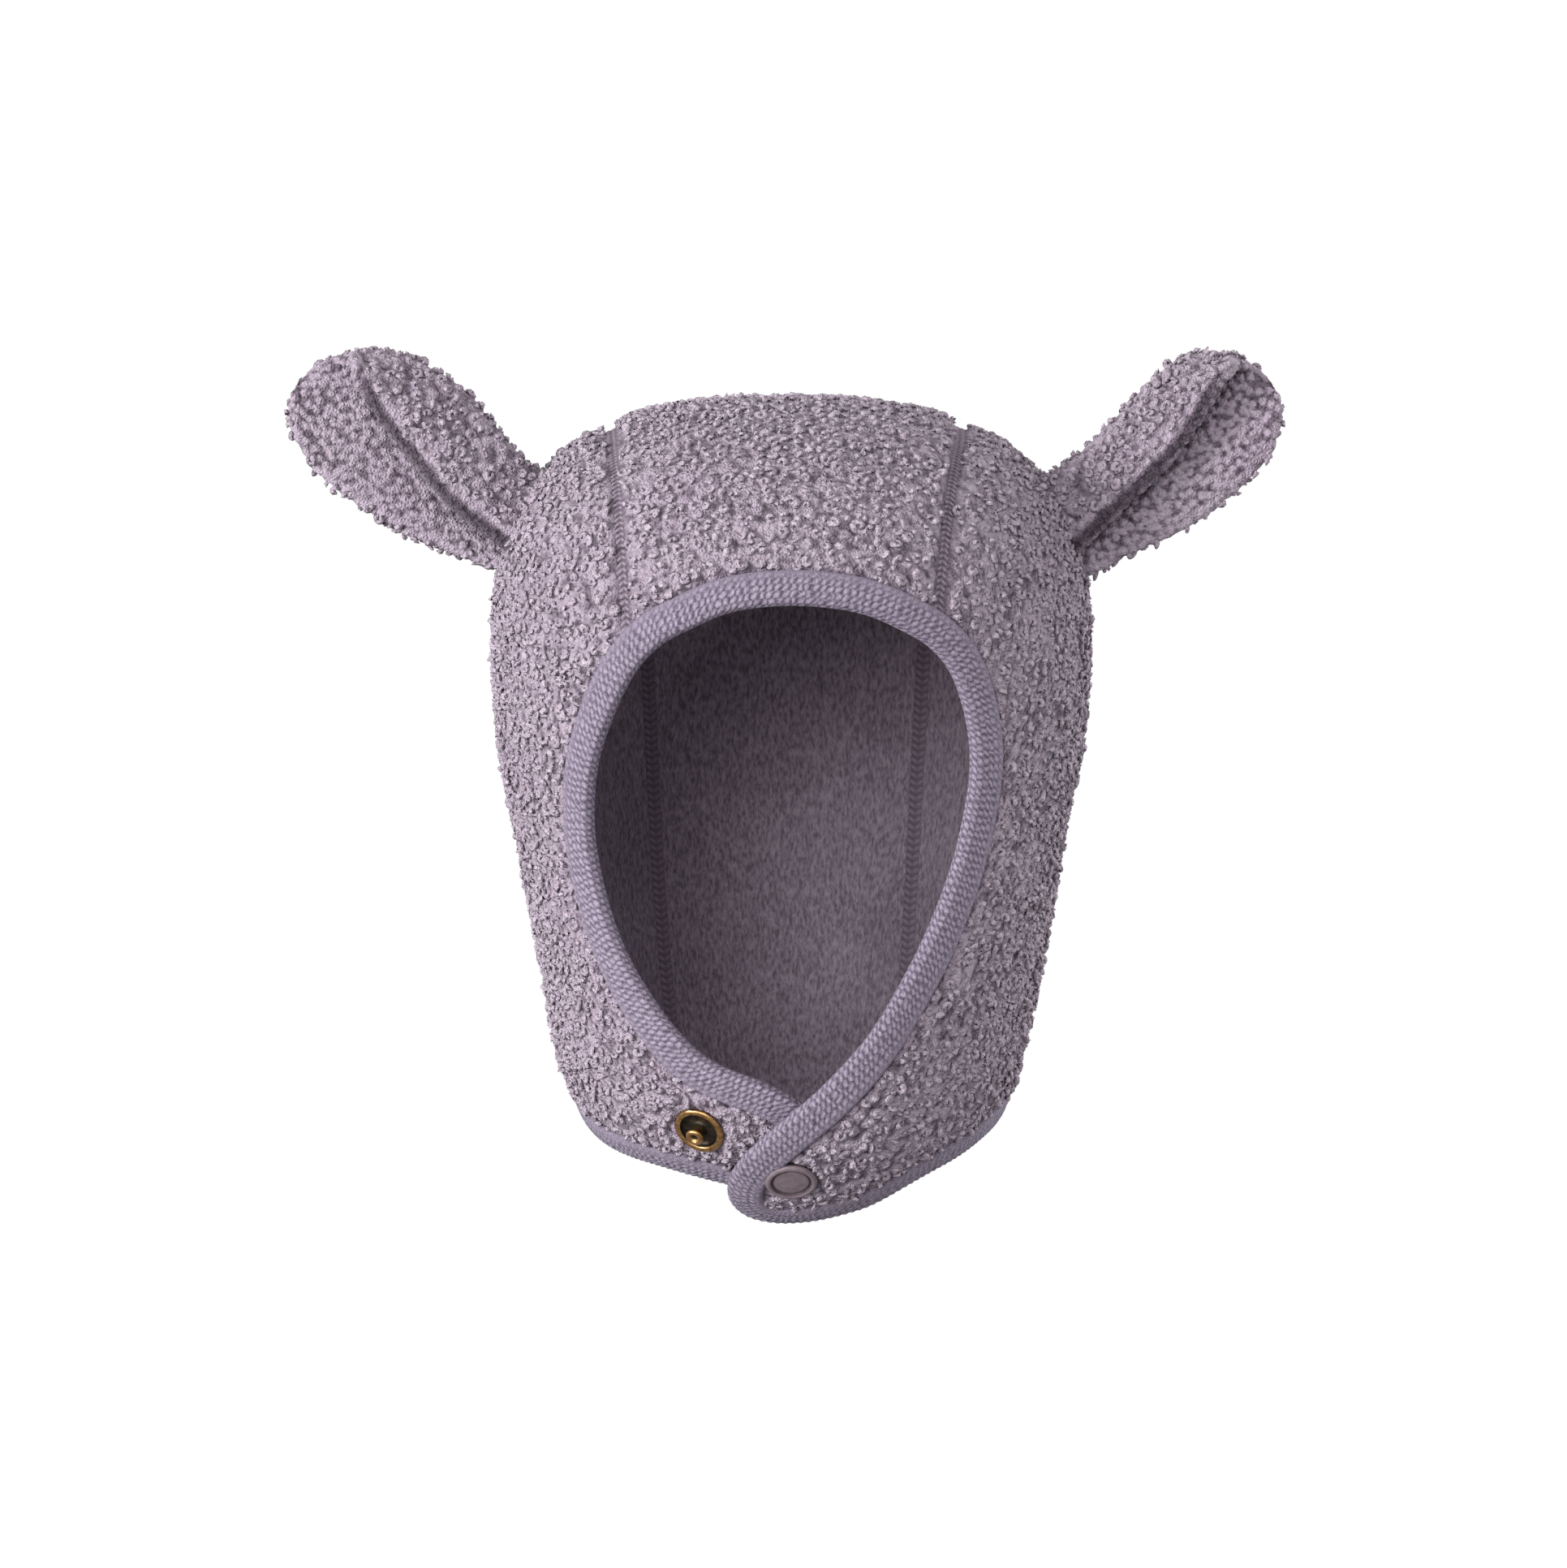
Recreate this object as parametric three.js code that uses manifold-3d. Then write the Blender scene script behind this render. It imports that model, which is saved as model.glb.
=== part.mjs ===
// A baby's pile-fleece bonnet with two folded ears, in millimetres, +Z up, the face opening towards -Y.
// Left is -X and right is +X, as seen from the front. The origin is the inside top of the crown.
// Every cloth piece is laid on one closed head form and offset along the form's normal.
import * as THREE from "three";
import Module from "manifold-3d";

// Cloth: the fleece, the same fleece pressed flat inside the binding, and the clearance between pieces.
const WALL = 3.0;
const PRESSED = 1.4;
const GAP = 0.5;
// Binding: a knitted strip folded over every cut edge.
const BIND_WALL = 1.0;
const BIND_WIDTH = 7.8;
// Seams: the panels sink towards the seam line.
const SEAM_DIP = 1.0;
const SEAM_SPREAD = 3.4;
// Under the chin the right tab passes outside the left one.
const LIFT_OUT = 2.3;
const LIFT_IN = -2.4;

// The head form. Half-widths to the left and right and depths to the front and back, at each height.
const CENTRE = new THREE.Vector3(0, 0, -90);
const CROWN_Z = 3.0;
const SECTIONS = [
  { z: -58, left: 70.5, right: 74.3, front: 77.0, back: 80.0 },
  { z: -80, left: 69.2, right: 72.6, front: 76.5, back: 80.0 },
  { z: -100, left: 65.5, right: 68.8, front: 75.5, back: 78.5 },
  { z: -120, left: 61.6, right: 65.5, front: 74.0, back: 76.0 },
  { z: -140, left: 57.8, right: 61.8, front: 72.0, back: 73.0 },
  { z: -155, left: 55.2, right: 58.6, front: 69.5, back: 70.5 },
  { z: -165, left: 52.0, right: 56.0, front: 66.5, back: 68.5 },
  { z: -174, left: 48.0, right: 52.0, front: 61.5, back: 66.0 },
  { z: -182, left: 41.0, right: 46.0, front: 54.0, back: 62.5 },
  { z: -190, left: 32.0, right: 35.0, front: 43.0, back: 57.0 },
  { z: -198, left: 18.0, right: 20.0, front: 26.0, back: 47.0 },
  { z: -206, left: 4.0, right: 4.0, front: 6.0, back: 20.0 },
];
const PLAN_POWER = 2.2; // of the horizontal sections
const DOME_SIDE = 2.7; // of the crown's outline seen from the front
const DOME_FRONT = 2.25; // and seen from the side

// The cut edge of the cloth, from the middle of the forehead round one tab to the nape, as directions
// from the centre of the form: azimuth from the front and elevation, in degrees.
const RIGHT_EDGE = [
  { az: 0, el: 31.7 },
  { az: 8.9, el: 31.2 },
  { az: 15.3, el: 30.0 },
  { az: 21.8, el: 27.6 },
  { az: 27.4, el: 24.9, corner: "seam" },
  { az: 32.3, el: 20.6 },
  { az: 36.8, el: 10.8 },
  { az: 37.8, el: 2.4 },
  { az: 35.8, el: -10.9 },
  { az: 29.7, el: -25.3 },
  { az: 20.8, el: -36.5 },
  { az: 9.4, el: -45.5 },
  { az: 1.2, el: -50.4 },
  { az: -4.1, el: -53.6, corner: "tab" },
  { az: -8.2, el: -56.5 },
  { az: -11.8, el: -60.2 },
  { az: -13.0, el: -64.0 },
  { az: -10.0, el: -67.2 },
  { az: -2.7, el: -68.8, corner: "hem" },
  { az: 6.1, el: -68.7 },
  { az: 21.8, el: -66.0 },
  { az: 37.9, el: -61.8 },
  { az: 64.0, el: -57.6 },
  { az: 90.0, el: -57.4 },
  { az: 127.9, el: -57.6 },
  { az: 149.0, el: -58.2, corner: "nape" },
];
const LEFT_EDGE = [
  { az: -10.1, el: 30.5 },
  { az: -17.2, el: 28.0 },
  { az: -23.2, el: 25.4 },
  { az: -28.6, el: 21.2, corner: "seam" },
  { az: -34.5, el: 13.0 },
  { az: -38.3, el: 5.5 },
  { az: -40.6, el: -3.1 },
  { az: -41.2, el: -10.6 },
  { az: -38.1, el: -24.1 },
  { az: -30.6, el: -34.6 },
  { az: -18.8, el: -42.9 },
  { az: -4.6, el: -46.6 },
  { az: 2.6, el: -49.2, corner: "tab" },
  { az: 8.6, el: -52.9 },
  { az: 13.6, el: -57.3 },
  { az: 14.8, el: -60.8 },
  { az: 11.0, el: -64.0 },
  { az: 3.0, el: -65.1, corner: "hem" },
  { az: -15.0, el: -63.4 },
  { az: -37.8, el: -60.9 },
  { az: -70.3, el: -60.2 },
  { az: -95.0, el: -59.6 },
  { az: -130.3, el: -58.4 },
  { az: -149.5, el: -58.4, corner: "nape" },
];
const NAPE = { az: 180, el: -58.9 };
// The two seams that run from the forehead over the crown, as distances from the middle plane.
// The angle turns in the plane of symmetry, from the front (0) over the crown (90) to the back (180).
const SEAM_X = [
  { turn: 20, left: 36.8, right: 35.4 },
  { turn: 45, left: 39.0, right: 38.6 },
  { turn: 75, left: 42.0, right: 43.0 },
  { turn: 95, left: 42.8, right: 43.6 },
  { turn: 125, left: 40.4, right: 41.2 },
  { turn: 160, left: 36.8, right: 37.6 },
  { turn: 200, left: 34.4, right: 35.0 },
  { turn: 240, left: 31.0, right: 32.4 },
];

// An ear stands out from the side, folded lengthwise: the back leaf runs from its low edge to the spine
// and the front leaf comes down again to the crease. All are heights across the ear at a distance along it.
const EAR_WALL = 3.4;
const EAR_FOLD = 2.5; // radius of the middle of the cloth round the spine
const EAR_TILT = 31; // degrees up from the horizontal
const LEFT_EAR = {
  foot: new THREE.Vector3(-60.1, -13, -28),
  rows: [
    { along: -16, low: -13.0, spine: 15.0, crease: -11.0 },
    { along: 0, low: -14.7, spine: 13.2, crease: -9.6 },
    { along: 8, low: -16.3, spine: 12.0, crease: -8.9 },
    { along: 17, low: -17.6, spine: 13.9, crease: -8.0 },
    { along: 25, low: -18.9, spine: 17.2, crease: -6.0 },
    { along: 33, low: -19.2, spine: 19.6, crease: -2.8 },
    { along: 41, low: -19.0, spine: 19.9, crease: 0.0 },
    { along: 48, low: -18.1, spine: 19.3, crease: 3.0 },
    { along: 54, low: -16.9, spine: 17.4, crease: 6.0 },
    { along: 59, low: -14.5, spine: 14.2, crease: 8.8 },
    { along: 63, low: -11.6, spine: 11.3, crease: 10.4 },
    { along: 66, low: -8.0, spine: 6.6, crease: 6.6 },
    { along: 68, low: -4.0, spine: 1.8, crease: 1.8 },
  ],
};
const RIGHT_EAR = {
  foot: new THREE.Vector3(64.9, -13, -28),
  rows: [
    { along: -16, low: -14.0, spine: 14.5, crease: -12.0 },
    { along: 0, low: -16.2, spine: 13.0, crease: -9.8 },
    { along: 8, low: -16.6, spine: 11.0, crease: -8.0 },
    { along: 17, low: -17.2, spine: 11.8, crease: -6.0 },
    { along: 25, low: -18.4, spine: 13.8, crease: -4.1 },
    { along: 33, low: -18.4, spine: 15.9, crease: -2.0 },
    { along: 41, low: -17.4, spine: 18.1, crease: 1.1 },
    { along: 47, low: -16.2, spine: 18.8, crease: 4.2 },
    { along: 52, low: -14.8, spine: 17.8, crease: 6.6 },
    { along: 56, low: -13.0, spine: 15.6, crease: 9.4 },
    { along: 60, low: -9.6, spine: 12.4, crease: 10.6 },
    { along: 62.8, low: -6.0, spine: 8.6, crease: 8.6 },
    { along: 64.4, low: -2.4, spine: 3.4, crease: 3.4 },
  ],
};
const EAR_STATIONS = [-16, -8, -2, 4, 10, 16, 22, 28, 34, 40, 46, 51, 55, 58.5, 61.5];

// Press studs: where each goes through the cloth, as a point the form is met from.
const STUD_AIM = new THREE.Vector3(-20.8, -58.4, -171.6);
const CAP_AIM = new THREE.Vector3(1.8, -55.0, -181.0);
const SNAP_RADIUS = 6.3;
const SHANK_RADIUS = 1.9;
const SEAT_DEPTH = 0.5;

const wasm = await Module();
wasm.setup();

// ---------------------------------------------------------------- small tools

const smooth = (x) => {
  const t = Math.min(Math.max(x, 0), 1);
  return t * t * (3 - 2 * t);
};

// A table's column at any place, through its rows and level beyond them, without overshoot.
function column(rows, at, name, x) {
  const order = rows[0][at] < rows[rows.length - 1][at] ? rows : [...rows].reverse();
  const xs = order.map((row) => row[at]);
  const ys = order.map((row) => row[name]);
  const last = xs.length - 1;
  if (x <= xs[0]) return ys[0];
  if (x >= xs[last]) return ys[last];
  const slope = (i) => (ys[i + 1] - ys[i]) / (xs[i + 1] - xs[i]);
  const tangent = (i) => {
    if (i === 0 || i === last) return 0;
    const [a, b] = [slope(i - 1), slope(i)];
    return a * b <= 0 ? 0 : (2 * a * b) / (a + b);
  };
  const i = xs.findIndex((value) => value > x) - 1;
  const h = xs[i + 1] - xs[i];
  const t = (x - xs[i]) / h;
  const u = 1 - t;
  return (
    (1 + 2 * t) * u * u * ys[i] +
    t * u * u * h * tangent(i) +
    t * t * (3 - 2 * t) * ys[i + 1] -
    t * t * u * h * tangent(i + 1)
  );
}

// ---------------------------------------------------------------- the head form

// Below 1 inside the form, 1 on it and above 1 outside it.
function level(p) {
  const [top] = SECTIONS;
  const z = Math.min(p.z, top.z);
  const half = column(SECTIONS, "z", p.x < 0 ? "left" : "right", z);
  const deep = column(SECTIONS, "z", p.y < 0 ? "front" : "back", z);
  const across = Math.abs(p.x) / half;
  const along = Math.abs(p.y) / deep;
  const plan = (across ** PLAN_POWER + along ** PLAN_POWER) ** (1 / PLAN_POWER);
  const sideways = across ** 2 / Math.max(across ** 2 + along ** 2, 1e-9);
  const power = DOME_FRONT + (DOME_SIDE - DOME_FRONT) * sideways;
  const rise = Math.max(p.z - top.z, 0) / (CROWN_Z - top.z);
  return (plan ** power + rise ** power) ** (1 / power);
}

// Where the form is met going from a point inside it towards another.
function meet(from, towards) {
  const step = towards.clone().sub(from).normalize();
  let [near, far] = [0, 400];
  for (let i = 0; i < 46; i++) {
    const middle = (near + far) / 2;
    if (level(from.clone().addScaledVector(step, middle)) < 1) near = middle;
    else far = middle;
  }
  return from.clone().addScaledVector(step, near);
}

const onForm = (point) => meet(CENTRE, point);

function normalAt(point) {
  const h = 0.05;
  const slope = ["x", "y", "z"].map((axis) => {
    const [up, down] = [point.clone(), point.clone()];
    up[axis] += h;
    down[axis] -= h;
    return level(up) - level(down);
  });
  return new THREE.Vector3(...slope).normalize();
}

function towards({ az, el }) {
  const [a, e] = [THREE.MathUtils.degToRad(az), THREE.MathUtils.degToRad(el)];
  return CENTRE.clone().add(
    new THREE.Vector3(Math.cos(e) * Math.sin(a), -Math.cos(e) * Math.cos(a), Math.sin(e)),
  );
}

// How far a side's cloth leaves the form near the overlap under the chin.
function lift(point, side) {
  const low = smooth((-118 - point.z) / 32);
  const front = smooth(-point.y / 25);
  if (side > 0) return LIFT_OUT * low * front * smooth((38 - point.x) / 21);
  if (side < 0) return LIFT_IN * low * front * smooth((point.x + 46) / 31);
  return 0;
}

// A point of the form moved out to a height above the middle of the cloth.
function raised(point, height, side) {
  const out = height - WALL / 2 + lift(point, side);
  return point.clone().addScaledVector(normalAt(point), out);
}

// ---------------------------------------------------------------- edges and seams

const loopRows = [...RIGHT_EDGE, NAPE, ...[...LEFT_EDGE].reverse()];
const loopCurve = new THREE.CatmullRomCurve3(
  loopRows.map((row) => onForm(towards(row))),
  true,
  "centripetal",
);

// A polyline of the closed edge between two of its rows, counted round the loop.
function edgeBetween(first, last) {
  const pieces = 160;
  const points = [];
  for (let i = 0; i <= pieces; i++) {
    const at = (first + ((last - first) * i) / pieces) / loopRows.length;
    points.push(onForm(loopCurve.getPoint(((at % 1) + 1) % 1)));
  }
  return points;
}

function cornerOf(edge, corner) {
  return loopRows.indexOf(edge.find((row) => row.corner === corner));
}

// The seam of one side, from the forehead to the nape, set over by a little to part the two panels.
function seamLine(side, first, last, over) {
  const name = side > 0 ? "right" : "left";
  const turnOf = (p) => {
    const turn = THREE.MathUtils.radToDeg(Math.atan2(p.z - CENTRE.z, -p.y));
    return turn < -60 ? turn + 360 : turn;
  };
  const [from, to] = [turnOf(first), turnOf(last)];
  const pieces = 120;
  const points = [];
  for (let i = 0; i <= pieces; i++) {
    const turn = from + ((to - from) * i) / pieces;
    const a = THREE.MathUtils.degToRad(turn);
    let x = column(SEAM_X, "turn", name, turn);
    x += (Math.abs(first.x) - column(SEAM_X, "turn", name, from)) * smooth(1 - i / 14);
    x += (Math.abs(last.x) - column(SEAM_X, "turn", name, to)) * smooth(1 - (pieces - i) / 14);
    const root = new THREE.Vector3(side * (x + over), 0, CENTRE.z);
    const out = root.clone().add(new THREE.Vector3(0, -Math.cos(a), Math.sin(a)));
    points.push(meet(root, out));
  }
  return points;
}

// A polyline as a function of the share of its length.
function alongLine(points) {
  const run = [0];
  for (let i = 1; i < points.length; i++) run.push(run[i - 1] + points[i].distanceTo(points[i - 1]));
  const total = run[run.length - 1];
  const at = (share) => {
    const want = Math.min(Math.max(share, 0), 1) * total;
    let i = 1;
    while (i < run.length - 1 && run[i] < want) i++;
    const part = (want - run[i - 1]) / Math.max(run[i] - run[i - 1], 1e-9);
    return points[i - 1].clone().lerp(points[i], part);
  };
  return { at, total };
}

const nearest = (point, line) => Math.min(...line.map((q) => q.distanceTo(point)));

// ---------------------------------------------------------------- solids

// One closed body between an outer and an inner sheet of points in rows and columns.
function sheetSolid(outer, inner) {
  const rows = outer.length;
  const cols = outer[0].length;
  const points = [...outer.flat(), ...inner.flat()];
  const faces = [];
  const quad = (a, b, c, d) => faces.push([a, b, c], [a, c, d]);
  const top = (i, j) => i * cols + j;
  const under = (i, j) => rows * cols + i * cols + j;
  for (let i = 0; i + 1 < rows; i++)
    for (let j = 0; j + 1 < cols; j++) {
      quad(top(i, j), top(i + 1, j), top(i + 1, j + 1), top(i, j + 1));
      quad(under(i, j), under(i, j + 1), under(i + 1, j + 1), under(i + 1, j));
    }
  for (let i = 0; i + 1 < rows; i++) {
    quad(top(i, 0), under(i, 0), under(i + 1, 0), top(i + 1, 0));
    quad(top(i + 1, cols - 1), under(i + 1, cols - 1), under(i, cols - 1), top(i, cols - 1));
  }
  for (let j = 0; j + 1 < cols; j++) {
    quad(top(0, j + 1), under(0, j + 1), under(0, j), top(0, j));
    quad(top(rows - 1, j), under(rows - 1, j), under(rows - 1, j + 1), top(rows - 1, j + 1));
  }
  return solid(points, faces);
}

// One closed body through rings of points; a ring left open at both ends is closed by fans.
function ringSolid(rings, closed) {
  const count = rings[0].length;
  const points = rings.flat();
  const faces = [];
  const steps = closed ? rings.length : rings.length - 1;
  for (let i = 0; i < steps; i++)
    for (let j = 0; j < count; j++) {
      const [k, l] = [(i + 1) % rings.length, (j + 1) % count];
      const corners = [i * count + j, i * count + l, k * count + l, k * count + j];
      faces.push([corners[0], corners[1], corners[2]], [corners[0], corners[2], corners[3]]);
    }
  if (!closed) {
    for (const [ring, turned] of [[0, true], [rings.length - 1, false]]) {
      const middle = points.length;
      const sum = rings[ring].reduce((a, p) => a.add(p), new THREE.Vector3());
      points.push(sum.divideScalar(count));
      for (let j = 0; j < count; j++) {
        const [a, b] = [ring * count + j, ring * count + ((j + 1) % count)];
        faces.push(turned ? [middle, b, a] : [middle, a, b]);
      }
    }
  }
  return solid(points, faces);
}

// Points and triangles as a body whose faces point outwards.
function solid(points, faces) {
  let volume = 0;
  for (const [a, b, c] of faces)
    volume += points[a].dot(points[b].clone().cross(points[c]));
  const out = volume < 0 ? faces.map(([a, b, c]) => [a, c, b]) : faces;
  return new wasm.Manifold(
    new wasm.Mesh({
      numProp: 3,
      vertProperties: new Float32Array(points.flatMap((p) => p.toArray())),
      triVerts: new Uint32Array(out.flat()),
    }),
  );
}

// A turned body about an axis: rows of radius and height, starting and ending on the axis.
function turned(profile, base, axis, segments) {
  const swing = new THREE.Quaternion().setFromUnitVectors(new THREE.Vector3(0, 0, 1), axis);
  const place = (x, y, z) => new THREE.Vector3(x, y, z).applyQuaternion(swing).add(base);
  const points = [place(0, 0, profile[0].h)];
  const rings = profile.slice(1, -1);
  for (const { r, h } of rings)
    for (let j = 0; j < segments; j++) {
      const a = (2 * Math.PI * j) / segments;
      points.push(place(r * Math.cos(a), r * Math.sin(a), h));
    }
  points.push(place(0, 0, profile[profile.length - 1].h));
  const end = points.length - 1;
  const at = (i, j) => 1 + i * segments + (j % segments);
  const faces = [];
  for (let j = 0; j < segments; j++) {
    faces.push([0, at(0, j + 1), at(0, j)]);
    faces.push([end, at(rings.length - 1, j), at(rings.length - 1, j + 1)]);
    for (let i = 0; i + 1 < rings.length; i++) {
      faces.push([at(i, j), at(i, j + 1), at(i + 1, j + 1)]);
      faces.push([at(i, j), at(i + 1, j + 1), at(i + 1, j)]);
    }
  }
  return solid(points, faces);
}

function drum(radius, low, high, base, axis) {
  const profile = [
    { r: 0, h: low },
    { r: radius, h: low },
    { r: radius, h: high },
    { r: 0, h: high },
  ];
  return turned(profile, base, axis, 24);
}

// ---------------------------------------------------------------- panels

// Shares along a line: close rows under the binding or by the seam at each end, even between them.
function spread(length, count, first, second, trim = 0) {
  const a = Math.min(first, 0.2 * length) / length;
  const b = Math.min(second, 0.34 * length) / length;
  const shares = [trim / length, a];
  const inner = count - 4;
  for (let i = 0; i <= inner; i++) shares.push(b + ((1 - 2 * b) * i) / inner);
  return [...shares, 1 - a, 1 - trim / length];
}

// A four-sided sheet over the form between its edges, s across and t along. The curve of its low and
// high ends dies away into the sheet, the faster the higher their powers.
function blended({ start, end, low, high, lowPower = 1, highPower = 1 }) {
  return (s, t) => {
    const point = start.at(t).lerp(end.at(t), s);
    for (const [line, weight] of [[low, (1 - t) ** lowPower], [high, t ** highPower]]) {
      const chord = line.at(0).lerp(line.at(1), s);
      point.addScaledVector(line.at(s).sub(chord), weight);
    }
    return onForm(point);
  };
}

const edgeLine = edgeBetween(0, loopRows.length).concat(edgeBetween(0, 2));
const seams = {};
for (const [side, edge] of [[1, RIGHT_EDGE], [-1, LEFT_EDGE]]) {
  const front = onForm(towards(edge.find((row) => row.corner === "seam")));
  const back = onForm(towards(edge.find((row) => row.corner === "nape")));
  seams[side] = { front, back, middle: seamLine(side, front, back, 0) };
}

// Cloth on each point of a sheet: pressed under the binding, full beyond it, sunk by the seams.
function panel(sheet, rows, cols, side) {
  const seamPoints = [...seams[1].middle, ...seams[-1].middle];
  const [outer, inner] = [[], []];
  for (const t of cols) {
    const line = alongLine(Array.from({ length: 61 }, (_, i) => sheet(i / 60, t)));
    const [up, down] = [[], []];
    for (const share of spread(line.total, rows, 7.2, 13, GAP)) {
      const point = onForm(line.at(share));
      const pressed = smooth(1 - (nearest(point, edgeLine) - BIND_WIDTH) / 5);
      const half = WALL / 2 - ((WALL - PRESSED) / 2) * pressed;
      const dip = SEAM_DIP * Math.exp(-((nearest(point, seamPoints) / SEAM_SPREAD) ** 2));
      up.push(raised(point, Math.max(half - dip, PRESSED / 2 - 0.25), side));
      down.push(raised(point, -half, side));
    }
    outer.push(up);
    inner.push(down);
  }
  return sheetSolid(outer, inner);
}

function sidePanel(side) {
  const edge = side > 0 ? RIGHT_EDGE : LEFT_EDGE;
  const corner = (name) => cornerOf(edge, name);
  const seam = seamLine(side, seams[side].front, seams[side].back, GAP / 2);
  const trimmed = (points) => [seam[0], ...points.slice(1)];
  const closedAt = (points) => [...points.slice(0, -1), seam[seam.length - 1]];
  const sheet = {
    start: alongLine(trimmed(edgeBetween(corner("seam"), corner("tab")))),
    high: alongLine(edgeBetween(corner("tab"), corner("hem"))),
    end: alongLine(closedAt(edgeBetween(corner("hem"), corner("nape"))).reverse()),
    low: alongLine(seam),
    lowPower: 1.8,
    highPower: 6,
  };
  return panel(blended(sheet), 17, spread(sheet.start.total, 20, 3.2, 8), side);
}

function centrePanel() {
  const [right, left] = [1, -1].map((side) =>
    seamLine(side, seams[side].front, seams[side].back, -GAP / 2),
  );
  const closed = (points, first, last) => [first, ...points.slice(1, -1), last];
  const count = loopRows.length;
  const brow = edgeBetween(cornerOf(LEFT_EDGE, "seam"), count + cornerOf(RIGHT_EDGE, "seam"));
  const nape = edgeBetween(cornerOf(RIGHT_EDGE, "nape"), cornerOf(LEFT_EDGE, "nape")).reverse();
  const sheet = {
    start: alongLine(closed(brow, left[0], right[0])),
    end: alongLine(closed(nape, left[left.length - 1], right[right.length - 1])),
    low: alongLine(left),
    high: alongLine(right),
  };
  return panel(blended(sheet), 24, spread(sheet.start.total, 10, 3.2, 8), 0);
}

// ---------------------------------------------------------------- binding

// The folded strip's section: reach in from the cut edge and height above the middle of the cloth.
function bindSection(reach) {
  const inside = PRESSED / 2 + GAP;
  const outside = inside + BIND_WALL;
  const turn = (radius, degrees) => {
    const a = THREE.MathUtils.degToRad(degrees);
    return { reach: -GAP - radius * 0.72 * Math.cos(a), height: radius * Math.sin(a) };
  };
  return [
    { reach, height: outside - 0.35 },
    { reach: 0, height: outside },
    turn(outside, 45),
    turn(outside, 0),
    turn(outside, -45),
    { reach: 0, height: -outside },
    { reach, height: -outside + 0.35 },
    { reach, height: -inside },
    { reach: -2 * GAP, height: -inside },
    { reach: -2 * GAP, height: inside },
    { reach, height: inside },
  ];
}

function bindingRing() {
  const stations = 124;
  const pieces = 1200;
  const at = (i) => onForm(loopCurve.getPoint((i % pieces) / pieces));
  const dense = alongLine(Array.from({ length: pieces + 1 }, (_, i) => at(i)));
  const step = 2.5 / dense.total;
  const wrap = (share) => ((share % 1) + 1) % 1;
  const rings = [];
  for (let k = 0; k < stations; k++) {
    const share = k / stations;
    const [before, point, after] = [-step, 0, step].map((d) => onForm(dense.at(wrap(share + d))));
    const normal = normalAt(point);
    const forward = after.clone().sub(before).normalize();
    const inward = normal.clone().cross(forward).normalize();
    const bend = after.clone().add(before).addScaledVector(point, -2).dot(inward) / 6.25;
    const reach = Math.min(BIND_WIDTH - 1.3, bend > 1e-4 ? 0.8 / bend : 99);
    const side = point.y > 0 || Math.abs(share - 0.5) < 1e-9 ? 0 : share < 0.5 ? 1 : -1;
    rings.push(
      bindSection(reach).map(({ reach: d, height }) =>
        raised(onForm(point.clone().addScaledVector(inward, d)), height, side),
      ),
    );
  }
  return ringSolid(rings, true);
}

// ---------------------------------------------------------------- ears

// The middle line of one section: up the back leaf, round the spine and down the front leaf.
function earMiddle(ear, along) {
  const value = (name) => column(ear.rows, "along", name, along);
  const [low, spine, crease] = ["low", "spine", "crease"].map(value);
  const folded = smooth((64 - along) / 9);
  const sweep = Math.max(Math.PI * folded, 0.3);
  const top = spine - EAR_WALL / 2;
  const line = [];
  const back = top - EAR_FOLD * Math.sin(Math.min(sweep, Math.PI / 2)) - (low + EAR_WALL / 2);
  for (let i = 0; i <= 6; i++) {
    const t = i / 6;
    const cup = 3.2 * (1 - t) ** 2;
    line.push({ up: low + EAR_WALL / 2 + back * t, out: cup });
  }
  const start = line[line.length - 1];
  for (let i = 1; i <= 5; i++) {
    const a = (sweep * i) / 5;
    line.push({
      up: start.up + EAR_FOLD * Math.sin(a),
      out: start.out + EAR_FOLD * (1 - Math.cos(a)),
    });
  }
  const turnEnd = line[line.length - 1];
  const drop = Math.max(turnEnd.up - crease - EAR_WALL / 2, 0) * folded + 0.8;
  for (let i = 1; i <= 5; i++) {
    const t = i / 5;
    const belly = 1.3 * Math.sin(Math.PI * t) + 0.9 * t;
    line.push({
      up: turnEnd.up + Math.cos(sweep) * drop * t,
      out: turnEnd.out + Math.sin(sweep) * drop * t + belly * folded,
    });
  }
  return line;
}

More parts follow.
